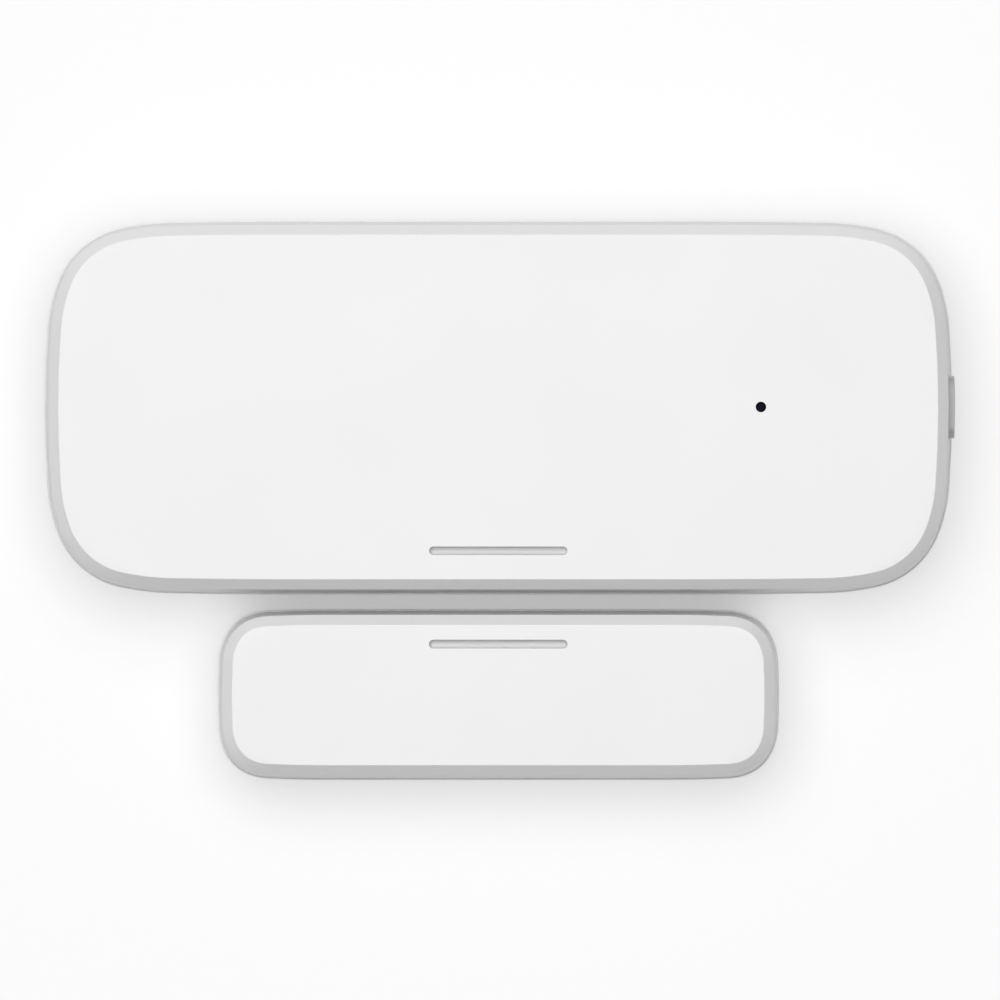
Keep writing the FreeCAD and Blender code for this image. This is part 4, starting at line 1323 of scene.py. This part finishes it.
        # Sintered ceramic, tan and matt, and the black glaze of a film resistor
        tan = moulded("Sintered ceramic", linear("#A88F6C"), 0.6, 0.15, 0.003)
        glaze = moulded("Black resistor glaze", linear("#1D1E20"), 0.35, 0.2, 0.002)
        make_piece("small_chip_parts", bm, "sensor_base", [tan, glaze, solder()], ("chip_parts",))


class DOORSENSOR_OT_tact_switch(bpy.types.Operator):
    """Build the switch behind the button: moulded body, steel frame, legs and plunger"""

    bl_idname = "door_sensor.tact_switch"
    bl_label = "Tact switch"

    def execute(self, context):
        dressed("tact_switch_body", "switch_body", "sensor_base", [chip_epoxy()], 0.08)
        dressed("tact_switch_frame", "switch_frame", "sensor_base", [can_steel()], 0.05)
        low, high = place("switch_plunger")
        radius = (high.z - low.z) / 2
        length = high.x - low.x
        at = middle("switch_plunger")
        pin = lathe(((0.0, 0.0, 0.0), (radius, 0.0, 0.05), (radius, length, 0.18), (0.0, length, 0.0)), 48)
        laid(pin, (low.x, at.y, at.z), ALONG_X)
        # Moulded black nylon, satin where the button rubs it
        nylon = moulded("Moulded black nylon", linear("#26262A"), 0.45, 0.2, 0.002)
        make_piece("plunger_pin", pin, "plunger", [nylon], ("switch_plunger",))
        return {"FINISHED"}


class DOORSENSOR_OT_bar_magnet(bpy.types.Operator):
    """Build the nickel-plated bar magnet"""

    bl_idname = "door_sensor.bar_magnet"
    bl_label = "Bar magnet"

    def execute(self, context):
        # Sintered, tumbled and nickel-plated: bright and slightly uneven, with softened edges
        nickel = worked_metal("Nickel-plated magnet", "#CFCECA", "#C6C5C1", 0.24, 0.04, 2.5, 0.004)
        dressed("bar_magnet", "magnet_bar", "magnet_base", [nickel], 0.1)
        return {"FINISHED"}


class DOORSENSOR_OT_adhesive_pads(bpy.types.Operator):
    """Build the two foam pads, bulged a little by the plates that they carry, with the film on their backs"""

    bl_idname = "door_sensor.adhesive_pads"
    bl_label = "Adhesive pads"

    def execute(self, context):
        dull = foam()
        # Siliconised film over the adhesive: thin, glossy and slightly yellow
        film = moulded("Siliconised release film", linear("#E6DFC8"), 0.22, 4.0, 0.01)
        for half in ("sensor", "magnet"):
            node = half + "_adhesive_pad"
            low, high = place(node)
            bm = laid(round_slab(high - low, 2.0, 12), (0, 0, PAD_MIDDLE))
            lower, upper = thicken(bm, 0.02)
            for face, way, level in ((upper, 1, PAD_MIDDLE + 0.02), (lower, -1, PAD_MIDDLE)):
                bulge = ((0.02, 0.2), (0.07, 0.34), (0.12, 0.39), (0.12, 0.45), (0.6, 0.45))
                follow(bm, face, [(0.0, level)] + [(inset, PAD_MIDDLE + way * rise) for inset, rise in bulge])
            at = middle(node)
            laid(bm, (at.x, at.y, 0))
            paint(bm, 1, lambda at, way: at.z < 0.06)
            pad = make_piece(half + "_foam_pad", bm, half + "_base", [dull, film], (node,))
        return {"FINISHED"}


class DOORSENSOR_PT_panel(bpy.types.Panel):
    """The pieces and the values that they are built from"""

    bl_idname = "DOORSENSOR_PT_panel"
    bl_label = "Door sensor"
    bl_space_type = "VIEW_3D"
    bl_region_type = "UI"
    bl_category = "Door sensor"

    def draw(self, context):
        for group in (context.scene.door_sensor_sizes, context.scene.door_sensor_colours):
            for name in group.bl_rna.properties.keys():
                if name not in ("rna_type", "name"):
                    self.layout.prop(group, name)
        for operator in OPERATORS:
            self.layout.operator(operator.bl_idname)


OPERATORS = (
    DOORSENSOR_OT_stage,
    DOORSENSOR_OT_back_cover,
    DOORSENSOR_OT_front_cover,
    DOORSENSOR_OT_magnet_back_plate,
    DOORSENSOR_OT_magnet_cover,
    DOORSENSOR_OT_side_button,
    DOORSENSOR_OT_light_pipe,
    DOORSENSOR_OT_cells,
    DOORSENSOR_OT_contacts,
    DOORSENSOR_OT_circuit_board,
    DOORSENSOR_OT_board_screws,
    DOORSENSOR_OT_reed_switch,
    DOORSENSOR_OT_radio_module,
    DOORSENSOR_OT_board_parts,
    DOORSENSOR_OT_tact_switch,
    DOORSENSOR_OT_bar_magnet,
    DOORSENSOR_OT_adhesive_pads,
)
CLASSES = (DoorSensorSizes, DoorSensorColours, *OPERATORS, DOORSENSOR_PT_panel)


def register():
    """Register the classes, and put their values on the scene."""
    for item in CLASSES:
        bpy.utils.register_class(item)
    bpy.types.Scene.door_sensor_sizes = PointerProperty(type=DoorSensorSizes)
    bpy.types.Scene.door_sensor_colours = PointerProperty(type=DoorSensorColours)


def unregister():
    """Take the values off the scene, and the classes away."""
    del bpy.types.Scene.door_sensor_colours
    del bpy.types.Scene.door_sensor_sizes
    for item in reversed(CLASSES):
        bpy.utils.unregister_class(item)


def main():
    """Build everything."""
    register()
    for operator in OPERATORS:
        group, name = operator.bl_idname.split(".")
        getattr(getattr(bpy.ops, group), name)()


if __name__ == "__main__":
    main()
